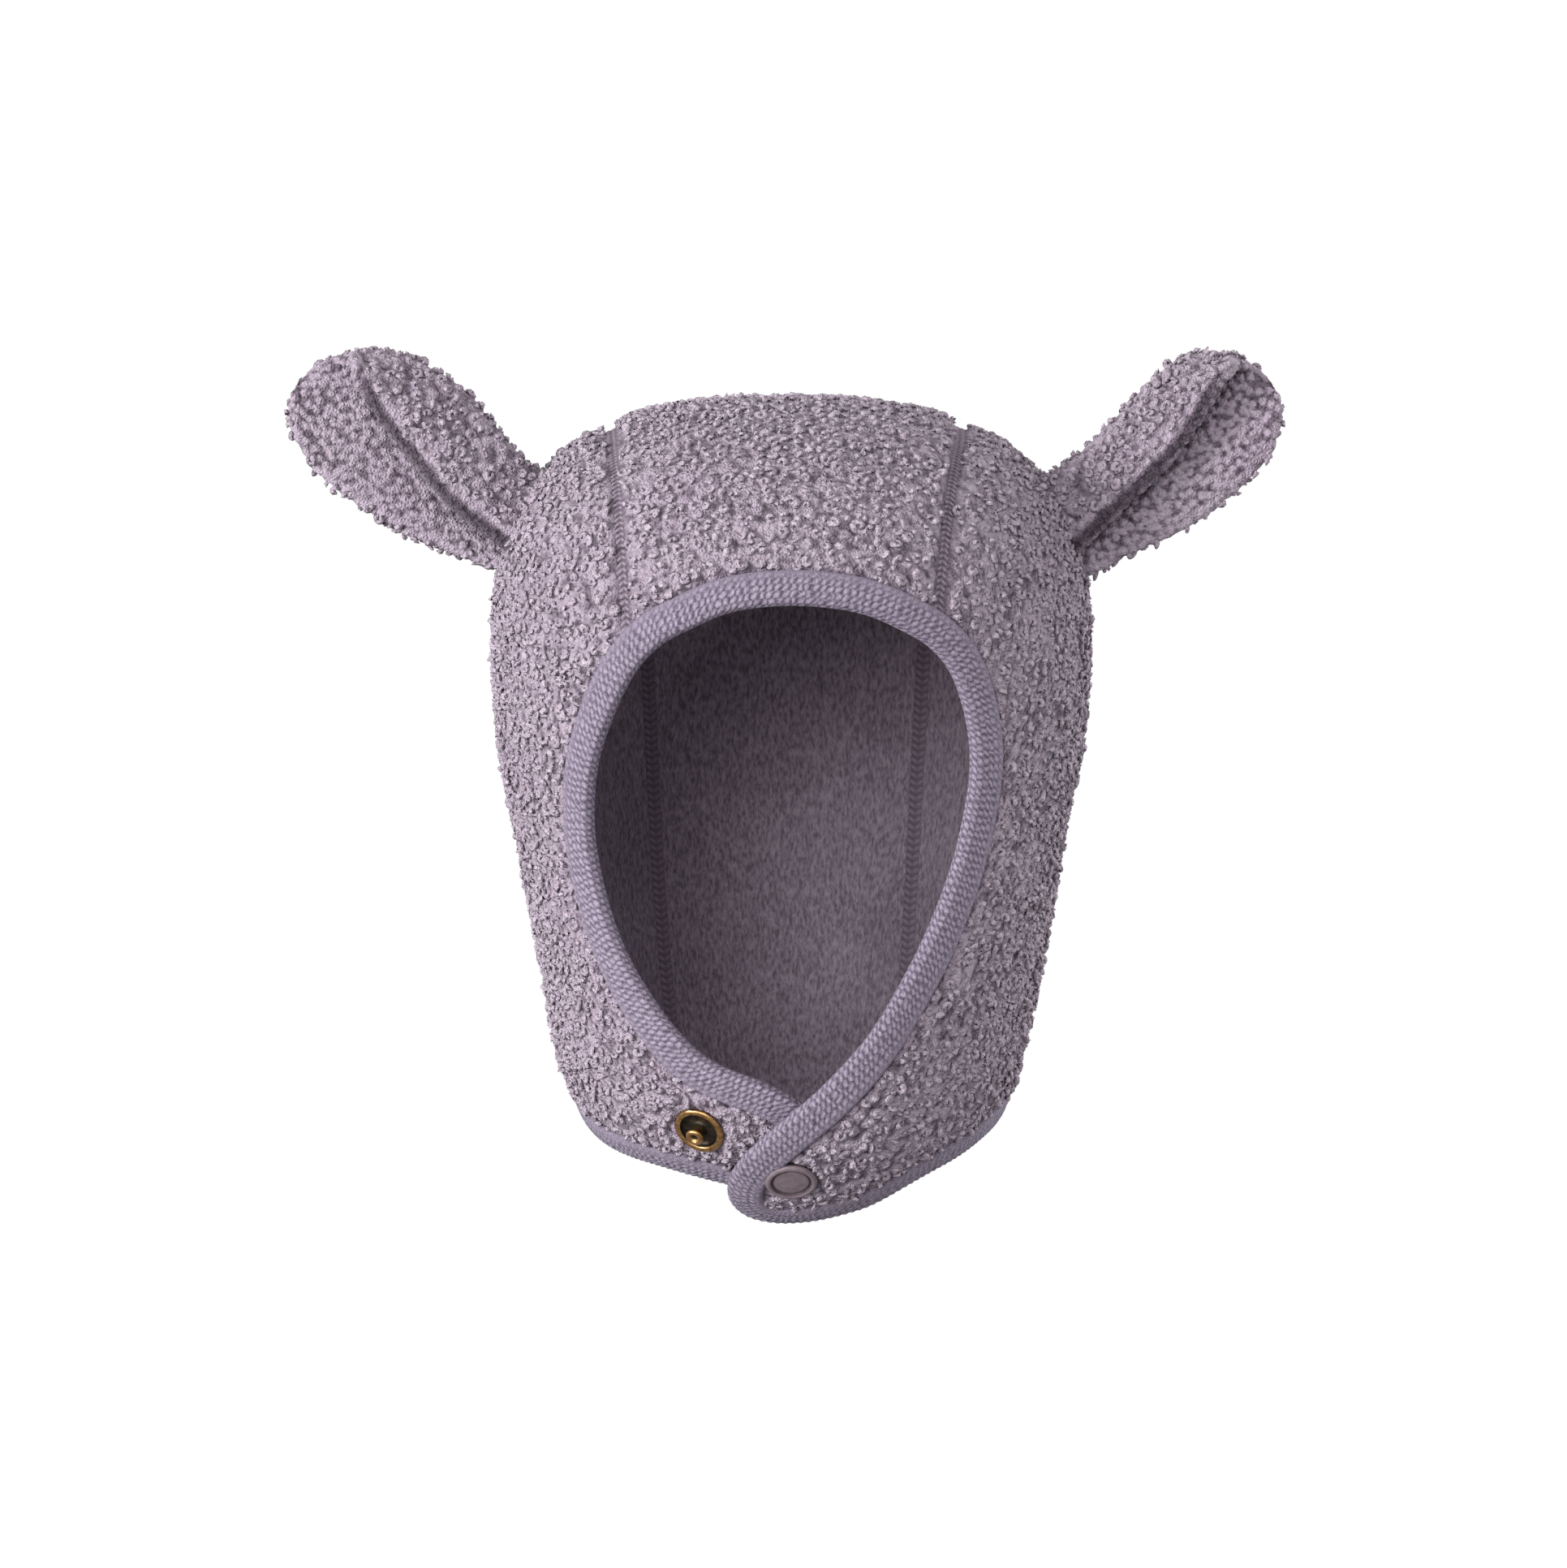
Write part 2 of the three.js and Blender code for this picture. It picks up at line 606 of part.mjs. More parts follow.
function earSolid(ear, side) {
  const tilt = THREE.MathUtils.degToRad(EAR_TILT);
  const outward = new THREE.Vector3(side * Math.cos(tilt), 0, Math.sin(tilt));
  const upward = new THREE.Vector3(-side * Math.sin(tilt), 0, Math.cos(tilt));
  const forward = new THREE.Vector3(0, -1, 0);
  const last = ear.rows[ear.rows.length - 1].along;
  const scale = last / 68;
  const stations = [...EAR_STATIONS.map((s) => s * scale), last - 4.2, last - 2.4, last - 1.1, last - 0.2];
  const rings = stations.map((along) => {
    const line = earMiddle(ear, along);
    const [near, far] = [[], []];
    const tip = Math.sqrt(Math.min(1, Math.max(last - along, 0.15) / 4));
    line.forEach((point, i) => {
      const a = line[Math.max(i - 1, 0)];
      const b = line[Math.min(i + 1, line.length - 1)];
      const length = Math.hypot(b.up - a.up, b.out - a.out) || 1;
      const end = Math.min(i, line.length - 1 - i);
      const half = (EAR_WALL / 2) * (end === 0 ? 0.55 : 1) * Math.max(tip, 0.3);
      const [nu, no] = [(b.out - a.out) / length, -(b.up - a.up) / length];
      near.push({ up: point.up + nu * half, out: point.out + no * half });
      far.push({ up: point.up - nu * half, out: point.out - no * half });
    });
    return [...near, ...far.reverse()].map(({ up, out }) =>
      ear.foot
        .clone()
        .addScaledVector(outward, along)
        .addScaledVector(upward, up)
        .addScaledVector(forward, out - 3),
    );
  });
  return ringSolid(rings, false);
}

// The form as a solid, a little larger, to shape the foot of each ear to the side panel.
function headSolid(out) {
  const [around, up] = [64, 30];
  const points = [];
  for (let i = 1; i < up; i++)
    for (let j = 0; j < around; j++) {
      const point = onForm(towards({ az: (360 * j) / around, el: -90 + (180 * i) / up }));
      points.push(point.clone().addScaledVector(normalAt(point), out));
    }
  const bottom = points.push(onForm(towards({ az: 0, el: -90 }))) - 1;
  const top = points.push(onForm(towards({ az: 0, el: 90 }))) - 1;
  const at = (i, j) => i * around + (j % around);
  const faces = [];
  for (let j = 0; j < around; j++) {
    faces.push([bottom, at(0, j + 1), at(0, j)], [top, at(up - 2, j), at(up - 2, j + 1)]);
    for (let i = 0; i < up - 2; i++)
      faces.push([at(i, j), at(i, j + 1), at(i + 1, j + 1)], [at(i, j), at(i + 1, j + 1), at(i + 1, j)]);
  }
  return solid(points, faces);
}

// ---------------------------------------------------------------- press studs

// A stud's seat: the middle of the cloth there and the way out of it.
function seatAt(aim, side) {
  const point = onForm(aim);
  return { base: raised(point, 0, side), axis: normalAt(point) };
}

const studSeat = seatAt(STUD_AIM, -1);
const capSeat = seatAt(CAP_AIM, 1);
const underSeat = seatAt(CAP_AIM, -1);
const FACE = WALL / 2 - SEAT_DEPTH + 0.3; // where a flange stands on the cloth, from its middle

// The open stud: a back disc, a shank through the cloth, a dished flange and its round-headed post.
const STUD_PROFILE = [
  { r: 0, h: -FACE - 0.9 },
  { r: 5.4, h: -FACE - 0.9 },
  { r: 6.0, h: -FACE - 0.5 },
  { r: 6.0, h: -FACE },
  { r: SHANK_RADIUS, h: -FACE },
  { r: SHANK_RADIUS, h: FACE },
  { r: 6.0, h: FACE },
  { r: SNAP_RADIUS, h: FACE + 0.35 },
  { r: SNAP_RADIUS - 0.5, h: FACE + 0.95 },
  { r: SNAP_RADIUS - 1.5, h: FACE + 1.05 },
  { r: SNAP_RADIUS - 2.2, h: FACE + 0.45 },
  { r: 2.1, h: FACE + 0.4 },
  { r: 1.55, h: FACE + 0.9 },
  { r: 1.5, h: FACE + 2.2 },
  { r: 1.95, h: FACE + 2.7 },
  { r: 1.95, h: FACE + 3.4 },
  { r: 1.5, h: FACE + 3.8 },
  { r: 0, h: FACE + 3.8 },
];
// The cap of the closed one: a plain button with a rim, its shank and the socket behind the tab.
const CAP_PROFILE = [
  { r: 0, h: -FACE + 0.9 },
  { r: 1.4, h: -FACE + 0.9 },
  { r: 1.4, h: -FACE - 0.6 },
  { r: 5.2, h: -FACE - 0.6 },
  { r: 5.5, h: -FACE - 0.3 },
  { r: 5.5, h: -FACE },
  { r: SHANK_RADIUS, h: -FACE },
  { r: SHANK_RADIUS, h: FACE },
  { r: 6.0, h: FACE },
  { r: SNAP_RADIUS, h: FACE + 0.35 },
  { r: SNAP_RADIUS - 0.3, h: FACE + 0.9 },
  { r: SNAP_RADIUS - 0.9, h: FACE + 1.15 },
  { r: SNAP_RADIUS - 1.6, h: FACE + 0.8 },
  { r: 0, h: FACE + 0.85 },
];
// The hidden stud that it closes on, held by the left tab.
const UNDER_PROFILE = [
  { r: 0, h: -FACE - 0.9 },
  { r: 5.4, h: -FACE - 0.9 },
  { r: 6.0, h: -FACE - 0.5 },
  { r: 6.0, h: -FACE },
  { r: SHANK_RADIUS, h: -FACE },
  { r: SHANK_RADIUS, h: FACE },
  { r: 5.5, h: FACE },
  { r: 5.5, h: FACE + 0.35 },
  { r: 5.2, h: FACE + 0.6 },
  { r: 1.0, h: FACE + 0.6 },
  { r: 1.0, h: FACE + 2.5 },
  { r: 0, h: FACE + 2.5 },
];

// The hole and the two pressed seats that a stud leaves in the cloth.
function pierced(cloth, { base, axis }) {
  const seat = WALL / 2 - SEAT_DEPTH;
  return [
    drum(SHANK_RADIUS + GAP, -2.8, 2.8, base, axis),
    drum(SNAP_RADIUS + 0.5, seat, 2.8, base, axis),
    drum(SNAP_RADIUS + 0.5, -2.8, -seat, base, axis),
  ].reduce((left, tool) => left.subtract(tool), cloth).simplify(0.01);
}

// ---------------------------------------------------------------- the pieces

const group = new THREE.Group();
const fleece = new THREE.MeshStandardMaterial({ color: 0x958a97, roughness: 0.95 });
const knit = new THREE.MeshStandardMaterial({ color: 0x857b99, roughness: 0.9 });
const brass = new THREE.MeshStandardMaterial({ color: 0x8a6a35, roughness: 0.4, metalness: 1 });
const resin = new THREE.MeshStandardMaterial({ color: 0x7d7280, roughness: 0.5 });

function add(name, body, material) {
  const { numProp, vertProperties, triVerts } = body.getMesh();
  const count = vertProperties.length / numProp;
  const position = new Float32Array(count * 3);
  for (let i = 0; i < count; i++)
    position.set(vertProperties.subarray(i * numProp, i * numProp + 3), i * 3);
  const geometry = new THREE.BufferGeometry();
  geometry.setAttribute("position", new THREE.BufferAttribute(position, 3));
  geometry.setIndex(new THREE.BufferAttribute(triVerts, 1));
  geometry.computeVertexNormals();
  const mesh = new THREE.Mesh(geometry, material);
  mesh.name = name;
  group.add(mesh);
}

const head = headSolid(0.75);
const leftPanel = pierced(pierced(sidePanel(-1), studSeat), underSeat);
const rightPanel = pierced(sidePanel(1), capSeat);

add("centre_panel", centrePanel(), fleece);
add("side_panel_left", leftPanel, fleece);
add("side_panel_right", rightPanel, fleece);
add("binding", pierced(pierced(bindingRing(), capSeat), underSeat), knit);
add("ear_left", earSolid(LEFT_EAR, -1).subtract(head).simplify(0.01), fleece);
add("ear_right", earSolid(RIGHT_EAR, 1).subtract(head).simplify(0.01), fleece);
add("snap_stud_open", turned(STUD_PROFILE, studSeat.base, studSeat.axis, 24), brass);
add("snap_cap", turned(CAP_PROFILE, capSeat.base, capSeat.axis, 24), resin);
add("snap_stud_closed", turned(UNDER_PROFILE, underSeat.base, underSeat.axis, 20), brass);

export default group;
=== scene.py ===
"""The looks of a baby's pile-fleece bonnet with ears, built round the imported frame.

Shapes are in millimetres until a mesh is made, and lights and the camera are in metres.
Left is -X and right is +X, as seen from the front, and side is -1 or 1 for them."""

import math

import bpy
import numpy as np
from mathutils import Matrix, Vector
from mathutils.kdtree import KDTree


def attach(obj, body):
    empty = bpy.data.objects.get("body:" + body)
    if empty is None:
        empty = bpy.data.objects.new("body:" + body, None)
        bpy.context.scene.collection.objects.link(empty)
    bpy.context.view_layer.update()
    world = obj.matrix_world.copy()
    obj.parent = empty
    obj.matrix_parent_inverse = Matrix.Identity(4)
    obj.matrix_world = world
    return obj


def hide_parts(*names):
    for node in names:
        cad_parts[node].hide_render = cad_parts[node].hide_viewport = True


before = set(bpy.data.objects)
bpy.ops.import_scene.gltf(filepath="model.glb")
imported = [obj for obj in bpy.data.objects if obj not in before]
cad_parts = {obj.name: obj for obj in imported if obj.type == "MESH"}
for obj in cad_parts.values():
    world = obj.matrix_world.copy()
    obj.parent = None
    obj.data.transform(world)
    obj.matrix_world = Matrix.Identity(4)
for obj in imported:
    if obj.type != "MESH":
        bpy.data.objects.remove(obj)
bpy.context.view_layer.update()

# ------------------------------------------------------------------ the cloth, as in the frame

WALL = 3.0  # the cloth with its lining
PRESSED = 1.4  # the same, pressed inside the binding
GAP = 0.5  # between pieces that meet
BIND_WALL = 1.0
BIND_WIDTH = 7.8
SEAM_DIP = 1.0
SEAM_SPREAD = 3.4
LIFT_OUT = 2.3  # how far the right tab stands out over the left one
LIFT_IN = -2.4
OVERLAP_REACH = 30
CENTRE = np.array([0.0, 0.0, -90.0])
CROWN_Z = 3.0
PLAN_POWER = 2.2  # 2 is an ellipse, and more is squarer
DOME_SIDE = 2.7
DOME_FRONT = 2.25
# height, half-width left, half-width right, depth front, depth back
SECTIONS = np.array(
    [
        (-58, 70.5, 74.3, 77.0, 80.0),
        (-80, 69.2, 72.6, 76.5, 80.0),
        (-100, 65.5, 68.8, 75.5, 78.5),
        (-120, 61.6, 65.5, 74.0, 76.0),
        (-140, 57.8, 61.8, 72.0, 73.0),
        (-155, 55.2, 58.6, 69.5, 70.5),
        (-165, 52.0, 56.0, 66.5, 68.5),
        (-174, 48.0, 52.0, 61.5, 66.0),
        (-182, 41.0, 46.0, 54.0, 62.5),
        (-190, 32.0, 35.0, 43.0, 57.0),
        (-198, 18.0, 20.0, 26.0, 47.0),
        (-206, 4.0, 4.0, 6.0, 20.0),
    ],
    float,
)
# The cut edge: azimuth from the front and elevation, in degrees, and the corner that a row is.
RIGHT_EDGE = [
    (0, 31.7, ""),
    (8.9, 31.2, ""),
    (15.3, 30.0, ""),
    (21.8, 27.6, ""),
    (27.4, 24.9, "seam"),
    (32.3, 20.6, ""),
    (36.8, 10.8, ""),
    (37.8, 2.4, ""),
    (35.8, -10.9, ""),
    (29.7, -25.3, ""),
    (20.8, -36.5, ""),
    (9.4, -45.5, ""),
    (1.2, -50.4, ""),
    (-4.1, -53.6, "tab"),
    (-8.2, -56.5, ""),
    (-11.8, -60.2, ""),
    (-13.0, -64.0, ""),
    (-10.0, -67.2, ""),
    (-2.7, -68.8, "hem"),
    (6.1, -68.7, ""),
    (21.8, -66.0, ""),
    (37.9, -61.8, ""),
    (64.0, -57.6, ""),
    (90.0, -57.4, ""),
    (127.9, -57.6, ""),
    (149.0, -58.2, "nape"),
]
LEFT_EDGE = [
    (-10.1, 30.5, ""),
    (-17.2, 28.0, ""),
    (-23.2, 25.4, ""),
    (-28.6, 21.2, "seam"),
    (-34.5, 13.0, ""),
    (-38.3, 5.5, ""),
    (-40.6, -3.1, ""),
    (-41.2, -10.6, ""),
    (-38.1, -24.1, ""),
    (-30.6, -34.6, ""),
    (-18.8, -42.9, ""),
    (-4.6, -46.6, ""),
    (2.6, -49.2, "tab"),
    (8.6, -52.9, ""),
    (13.6, -57.3, ""),
    (14.8, -60.8, ""),
    (11.0, -64.0, ""),
    (3.0, -65.1, "hem"),
    (-15.0, -63.4, ""),
    (-37.8, -60.9, ""),
    (-70.3, -60.2, ""),
    (-95.0, -59.6, ""),
    (-130.3, -58.4, ""),
    (-149.5, -58.4, "nape"),
]
NAPE = (180, -58.9, "")
# turn round the head from the front, distance of the left and of the right seam from the middle
SEAM_X = np.array(
    [
        (20, 36.8, 35.4),
        (45, 39.0, 38.6),
        (75, 42.0, 43.0),
        (95, 42.8, 43.6),
        (125, 40.4, 41.2),
        (160, 36.8, 37.6),
        (200, 34.4, 35.0),
        (240, 31.0, 32.4),
    ],
    float,
)
EAR_WALL = 3.4
EAR_FOLD = 2.5
EAR_TILT = 31
# distance along the ear, then the heights across it of the low edge, the spine and the crease
EARS = {
    "ear_left": (
        -1,
        (-60.1, -13, -28),
        np.array(
            [
                (-16, -13.0, 15.0, -11.0),
                (0, -14.7, 13.2, -9.6),
                (8, -16.3, 12.0, -8.9),
                (17, -17.6, 13.9, -8.0),
                (25, -18.9, 17.2, -6.0),
                (33, -19.2, 19.6, -2.8),
                (41, -19.0, 19.9, 0.0),
                (48, -18.1, 19.3, 3.0),
                (54, -16.9, 17.4, 6.0),
                (59, -14.5, 14.2, 8.8),
                (63, -11.6, 11.3, 10.4),
                (66, -8.0, 6.6, 6.6),
                (68, -4.0, 1.8, 1.8),
            ]
        ),
    ),
    "ear_right": (
        1,
        (64.9, -13, -28),
        np.array(
            [
                (-16, -14.0, 14.5, -12.0),
                (0, -16.2, 13.0, -9.8),
                (8, -16.6, 11.0, -8.0),
                (17, -17.2, 11.8, -6.0),
                (25, -18.4, 13.8, -4.1),
                (33, -18.4, 15.9, -2.0),
                (41, -17.4, 18.1, 1.1),
                (47, -16.2, 18.8, 4.2),
                (52, -14.8, 17.8, 6.6),
                (56, -13.0, 15.6, 9.4),
                (60, -9.6, 12.4, 10.6),
                (62.8, -6.0, 8.6, 8.6),
                (64.4, -2.4, 3.4, 3.4),
            ]
        ),
    ),
}
STUD_AIM = (-20.8, -58.4, -171.6)
CAP_AIM = (1.8, -55.0, -181.0)
SNAP_RADIUS = 6.3
SHANK_RADIUS = 1.9
SEAT_DEPTH = 0.5
SEAT_DENT = 1.2

random = np.random.default_rng(7)


def smooth(x):
    t = np.clip(x, 0, 1)
    return t * t * (3 - 2 * t)


def column(xs, ys, x):
    """A table's column at any place, through its rows and level beyond them, without overshoot."""
    if xs[0] > xs[-1]:
        xs, ys = xs[::-1], ys[::-1]
    slope = np.diff(ys) / np.diff(xs)
    a, b = slope[:-1], slope[1:]
    bend = np.where(a * b <= 0, 0, 2 * a * b / np.where(a + b == 0, 1, a + b))
    tangent = np.concatenate([[0], bend, [0]])
    x = np.clip(x, xs[0], xs[-1])
    i = np.clip(np.searchsorted(xs, x, side="right") - 1, 0, len(xs) - 2)
    h = xs[i + 1] - xs[i]
    t = (x - xs[i]) / h
    u = 1 - t
    rising = (1 + 2 * t) * u * u * ys[i] + t * u * u * h * tangent[i]
    return rising + t * t * (3 - 2 * t) * ys[i + 1] - t * t * u * h * tangent[i + 1]


def level(p):
    """Below 1 inside the head form, 1 on it and above 1 outside it."""
    x, y, z = p[..., 0], p[..., 1], p[..., 2]
    top = SECTIONS[0, 0]
    low = np.minimum(z, top)
    left, right, front, back = (column(SECTIONS[:, 0], SECTIONS[:, k], low) for k in (1, 2, 3, 4))
    across = np.abs(x) / np.where(x < 0, left, right)
    along = np.abs(y) / np.where(y < 0, front, back)
    plan = (across**PLAN_POWER + along**PLAN_POWER) ** (1 / PLAN_POWER)
    sideways = across**2 / np.maximum(across**2 + along**2, 1e-9)
    power = DOME_FRONT + (DOME_SIDE - DOME_FRONT) * sideways
    rise = np.maximum(z - top, 0) / (CROWN_Z - top)
    return (plan**power + rise**power) ** (1 / power)


def meet(root, towards):
    """Where the form is met going from points inside it towards others."""
    root, towards = np.broadcast_arrays(np.asarray(root, float), np.asarray(towards, float))
    step = towards - root
    step = step / np.linalg.norm(step, axis=-1, keepdims=True)
    near = np.zeros(step.shape[:-1])
    far = near + 260
    for _ in range(34):
        middle = (near + far) / 2
        inside = level(root + step * middle[..., None]) < 1
        near, far = np.where(inside, middle, near), np.where(inside, far, middle)
    return root + step * near[..., None]


def on_form(p):
    return meet(CENTRE, p)


def normal_at(p):
    h = 0.05
    slope = [level(p + h * axis) - level(p - h * axis) for axis in np.eye(3)]
    slope = np.stack(slope, -1)
    return slope / np.linalg.norm(slope, axis=-1, keepdims=True)


def towards(rows):
    a, e = (np.radians([row[k] for row in rows]) for k in (0, 1))
    return CENTRE + np.stack([np.cos(e) * np.sin(a), -np.cos(e) * np.cos(a), np.sin(e)], -1)


def lift(p, side):
    """How far a side's cloth leaves the form near the overlap under the chin."""
    low = smooth((-118 - p[..., 2]) / 32) * smooth(-p[..., 1] / 25)
    right = LIFT_OUT * low * smooth((38 - p[..., 0]) / 21)
    left = LIFT_IN * low * smooth((p[..., 0] + 46) / 31)
    return np.where(side > 0, right, np.where(side < 0, left, 0.0))


def raised(p, height, side):
    """Points of the form moved to a height above the middle of the cloth."""
    out = height - WALL / 2 + lift(p, side)
    return p + normal_at(p) * out[..., None]


LOOP_ROWS = RIGHT_EDGE + [NAPE] + LEFT_EDGE[::-1]
LOOP_POINTS = on_form(towards(LOOP_ROWS))


def loop_at(place):
    """The closed edge at places counted in its rows: a centripetal curve through them."""
    count = len(LOOP_POINTS)
    place = np.asarray(place, float)
    i = np.floor(place).astype(int)
    w = (place - i)[..., None]
    p0, p1, p2, p3 = (LOOP_POINTS[(i + k) % count] for k in (-1, 0, 1, 2))
    gaps = [np.sqrt(np.linalg.norm(b - a, axis=-1, keepdims=True)) for a, b in ((p0, p1), (p1, p2), (p2, p3))]
    g0, g1, g2 = gaps
    t1 = ((p1 - p0) / g0 - (p2 - p0) / (g0 + g1) + (p2 - p1) / g1) * g1
    t2 = ((p2 - p1) / g1 - (p3 - p1) / (g1 + g2) + (p3 - p2) / g2) * g1
    cubic = 2 * p1 - 2 * p2 + t1 + t2
    square = -3 * p1 + 3 * p2 - 2 * t1 - t2
    return on_form(p1 + t1 * w + square * w**2 + cubic * w**3)


def corner(edge, name):
    return LOOP_ROWS.index(next(row for row in edge if row[2] == name))


def lengths(line):
    steps = np.linalg.norm(np.diff(line, axis=0), axis=-1)
    return np.concatenate([[0], np.cumsum(steps)])


def along_line(line, share):
    """Points at shares of a polyline's length."""
    run = lengths(line)
    want = np.asarray(share) * run[-1]
    return np.stack([np.interp(want, run, line[:, k]) for k in range(3)], -1)


def edge_between(first, last):
    return loop_at(np.linspace(first, last, 161))


def seam_line(side, first, last, over):
    """A side's seam from the forehead to the nape, set over by a little to part the two panels."""
    turn = np.degrees(np.arctan2([first[2] + 90, last[2] + 90], [-first[1], -last[1]]))
    turn = np.where(turn < -60, turn + 360, turn)
    i = np.arange(121)
    turns = np.linspace(turn[0], turn[1], 121)
    name = 2 if side > 0 else 1
    x, ends = column(SEAM_X[:, 0], SEAM_X[:, name], turns), column(SEAM_X[:, 0], SEAM_X[:, name], turn)
    x = x + (abs(first[0]) - ends[0]) * smooth(1 - i / 14)
    x = x + (abs(last[0]) - ends[1]) * smooth(1 - (120 - i) / 14)
    root = np.stack([side * (x + over), 0 * x, 0 * x + CENTRE[2]], -1)
    a = np.radians(turns)
    return meet(root, root + np.stack([0 * a, -np.cos(a), np.sin(a)], -1))


def blended(start, end, low, high, low_power, high_power, shares, places):
    """A four-sided sheet over the form, evened out along each of its lines."""
    s, t = np.linspace(0, 1, 121)[None, :, None], np.asarray(places)[:, None, None]
    point = (1 - s) * along_line(start, places)[:, None] + s * along_line(end, places)[:, None]
    for line, weight in ((low, (1 - t) ** low_power), (high, t**high_power)):
        at = along_line(line, s[0, :, 0])[None]
        point = point + weight * (at - ((1 - s) * line[0] + s * line[-1]))
    point = on_form(point)
    return on_form(np.stack([along_line(row, shares(lengths(row)[-1])) for row in point]))


SEAM_ENDS = {
    side: [on_form(towards([LOOP_ROWS[corner(edge, name)]]))[0] for name in ("seam", "nape")]
    for side, edge in ((1, RIGHT_EDGE), (-1, LEFT_EDGE))
}
SEAMS = {side: seam_line(side, *SEAM_ENDS[side], 0) for side in (1, -1)}


def tree_of(points):
    tree = KDTree(len(points))
    for i, point in enumerate(points):
        tree.insert(point, i)
    tree.balance()
    return tree


def nearest(tree, points):
    flat = points.reshape(-1, 3)
    return np.array([tree.find(p)[2] for p in flat]).reshape(points.shape[:-1])


def nearest_index(tree, points):
    flat = points.reshape(-1, 3)
    return np.array([tree.find(p)[1] for p in flat]).reshape(points.shape[:-1])


def bind_frame(share):
    """Along the cut edge: its points, the way in, the distance run and how far in the binding lies."""
    dense = loop_at(np.linspace(0, len(LOOP_ROWS), 2401))
    total = lengths(dense)[-1]
    step = 2.5 / total
    behind, point, ahead = (on_form(along_line(dense, (share + d) % 1)) for d in (-step, 0, step))
    forward = ahead - behind
    forward /= np.linalg.norm(forward, axis=1, keepdims=True)
    inward = np.cross(normal_at(point), forward)
    inward /= np.linalg.norm(inward, axis=1, keepdims=True)
    bend = np.einsum("nk,nk->n", ahead + behind - 2 * point, inward) / 6.25
    reach = np.minimum(BIND_WIDTH - 1.3, np.where(bend > 1e-4, 0.8 / np.maximum(bend, 1e-4), 99))
    return point, inward, share * total, reach


EDGE_STEPS = 1600
EDGE_POINTS, EDGE_INWARD, _, EDGE_REACH = bind_frame(np.arange(EDGE_STEPS) / EDGE_STEPS)
EDGE_TREE = tree_of(EDGE_POINTS)
# The stretch of the edge that bounds each side's panel; the loop starts at the brow and runs right.
OWN_EDGE = {1: slice(0, 820), -1: slice(780, EDGE_STEPS), 0: slice(0, EDGE_STEPS)}
OWN_TREE = {side: tree_of(EDGE_POINTS[own]) for side, own in OWN_EDGE.items()}
SEAM_TREE = tree_of(np.concatenate([along_line(SEAMS[side], np.linspace(0, 1, 500)) for side in (1, -1)]))

# ------------------------------------------------------------------ meshes and materials


def mesh_object(name, points, faces, material, attributes=None, slots=None, smooth_faces=True):
    """An object in metres from points in millimetres, arrays of quads or triangles, and point attributes."""
    mesh = bpy.data.meshes.new(name)
    points = np.asarray(points, float).reshape(-1, 3) * 0.001
    groups = faces if isinstance(faces, list) and np.ndim(faces[0]) == 2 else [np.asarray(faces, int)]
    sizes = np.concatenate([np.full(len(group), group.shape[1]) for group in groups])
    corners = np.concatenate([group.ravel() for group in groups])
    mesh.vertices.add(len(points))
    mesh.vertices.foreach_set("co", points.ravel())
    mesh.loops.add(len(corners))
    mesh.loops.foreach_set("vertex_index", corners)
    mesh.polygons.add(len(sizes))
    mesh.polygons.foreach_set("loop_start", np.cumsum(sizes) - sizes)
    mesh.polygons.foreach_set("use_smooth", np.full(len(sizes), smooth_faces))
    for one in material if isinstance(material, list) else [material]:
        mesh.materials.append(one)
    if slots is not None:
        mesh.polygons.foreach_set("material_index", np.asarray(slots, np.int32))
    mesh.update(calc_edges=True)
    for key, values in (attributes or {}).items():
        layer = mesh.attributes.new(key, "FLOAT", "POINT")
        layer.data.foreach_set("value", np.asarray(values, np.float32).ravel())
    made = bpy.data.objects.new(name, mesh)
    bpy.context.scene.collection.objects.link(made)
    return made


def grid_faces(rows, cols, wrap=False, turned=False):
    i, j = np.meshgrid(np.arange(rows - 1), np.arange(cols if wrap else cols - 1), indexing="ij")
    k = (j + 1) % cols
    quads = np.stack([i * cols + j, i * cols + k, (i + 1) * cols + k, (i + 1) * cols + j], -1).reshape(-1, 4)
    return quads[:, ::-1] if turned else quads


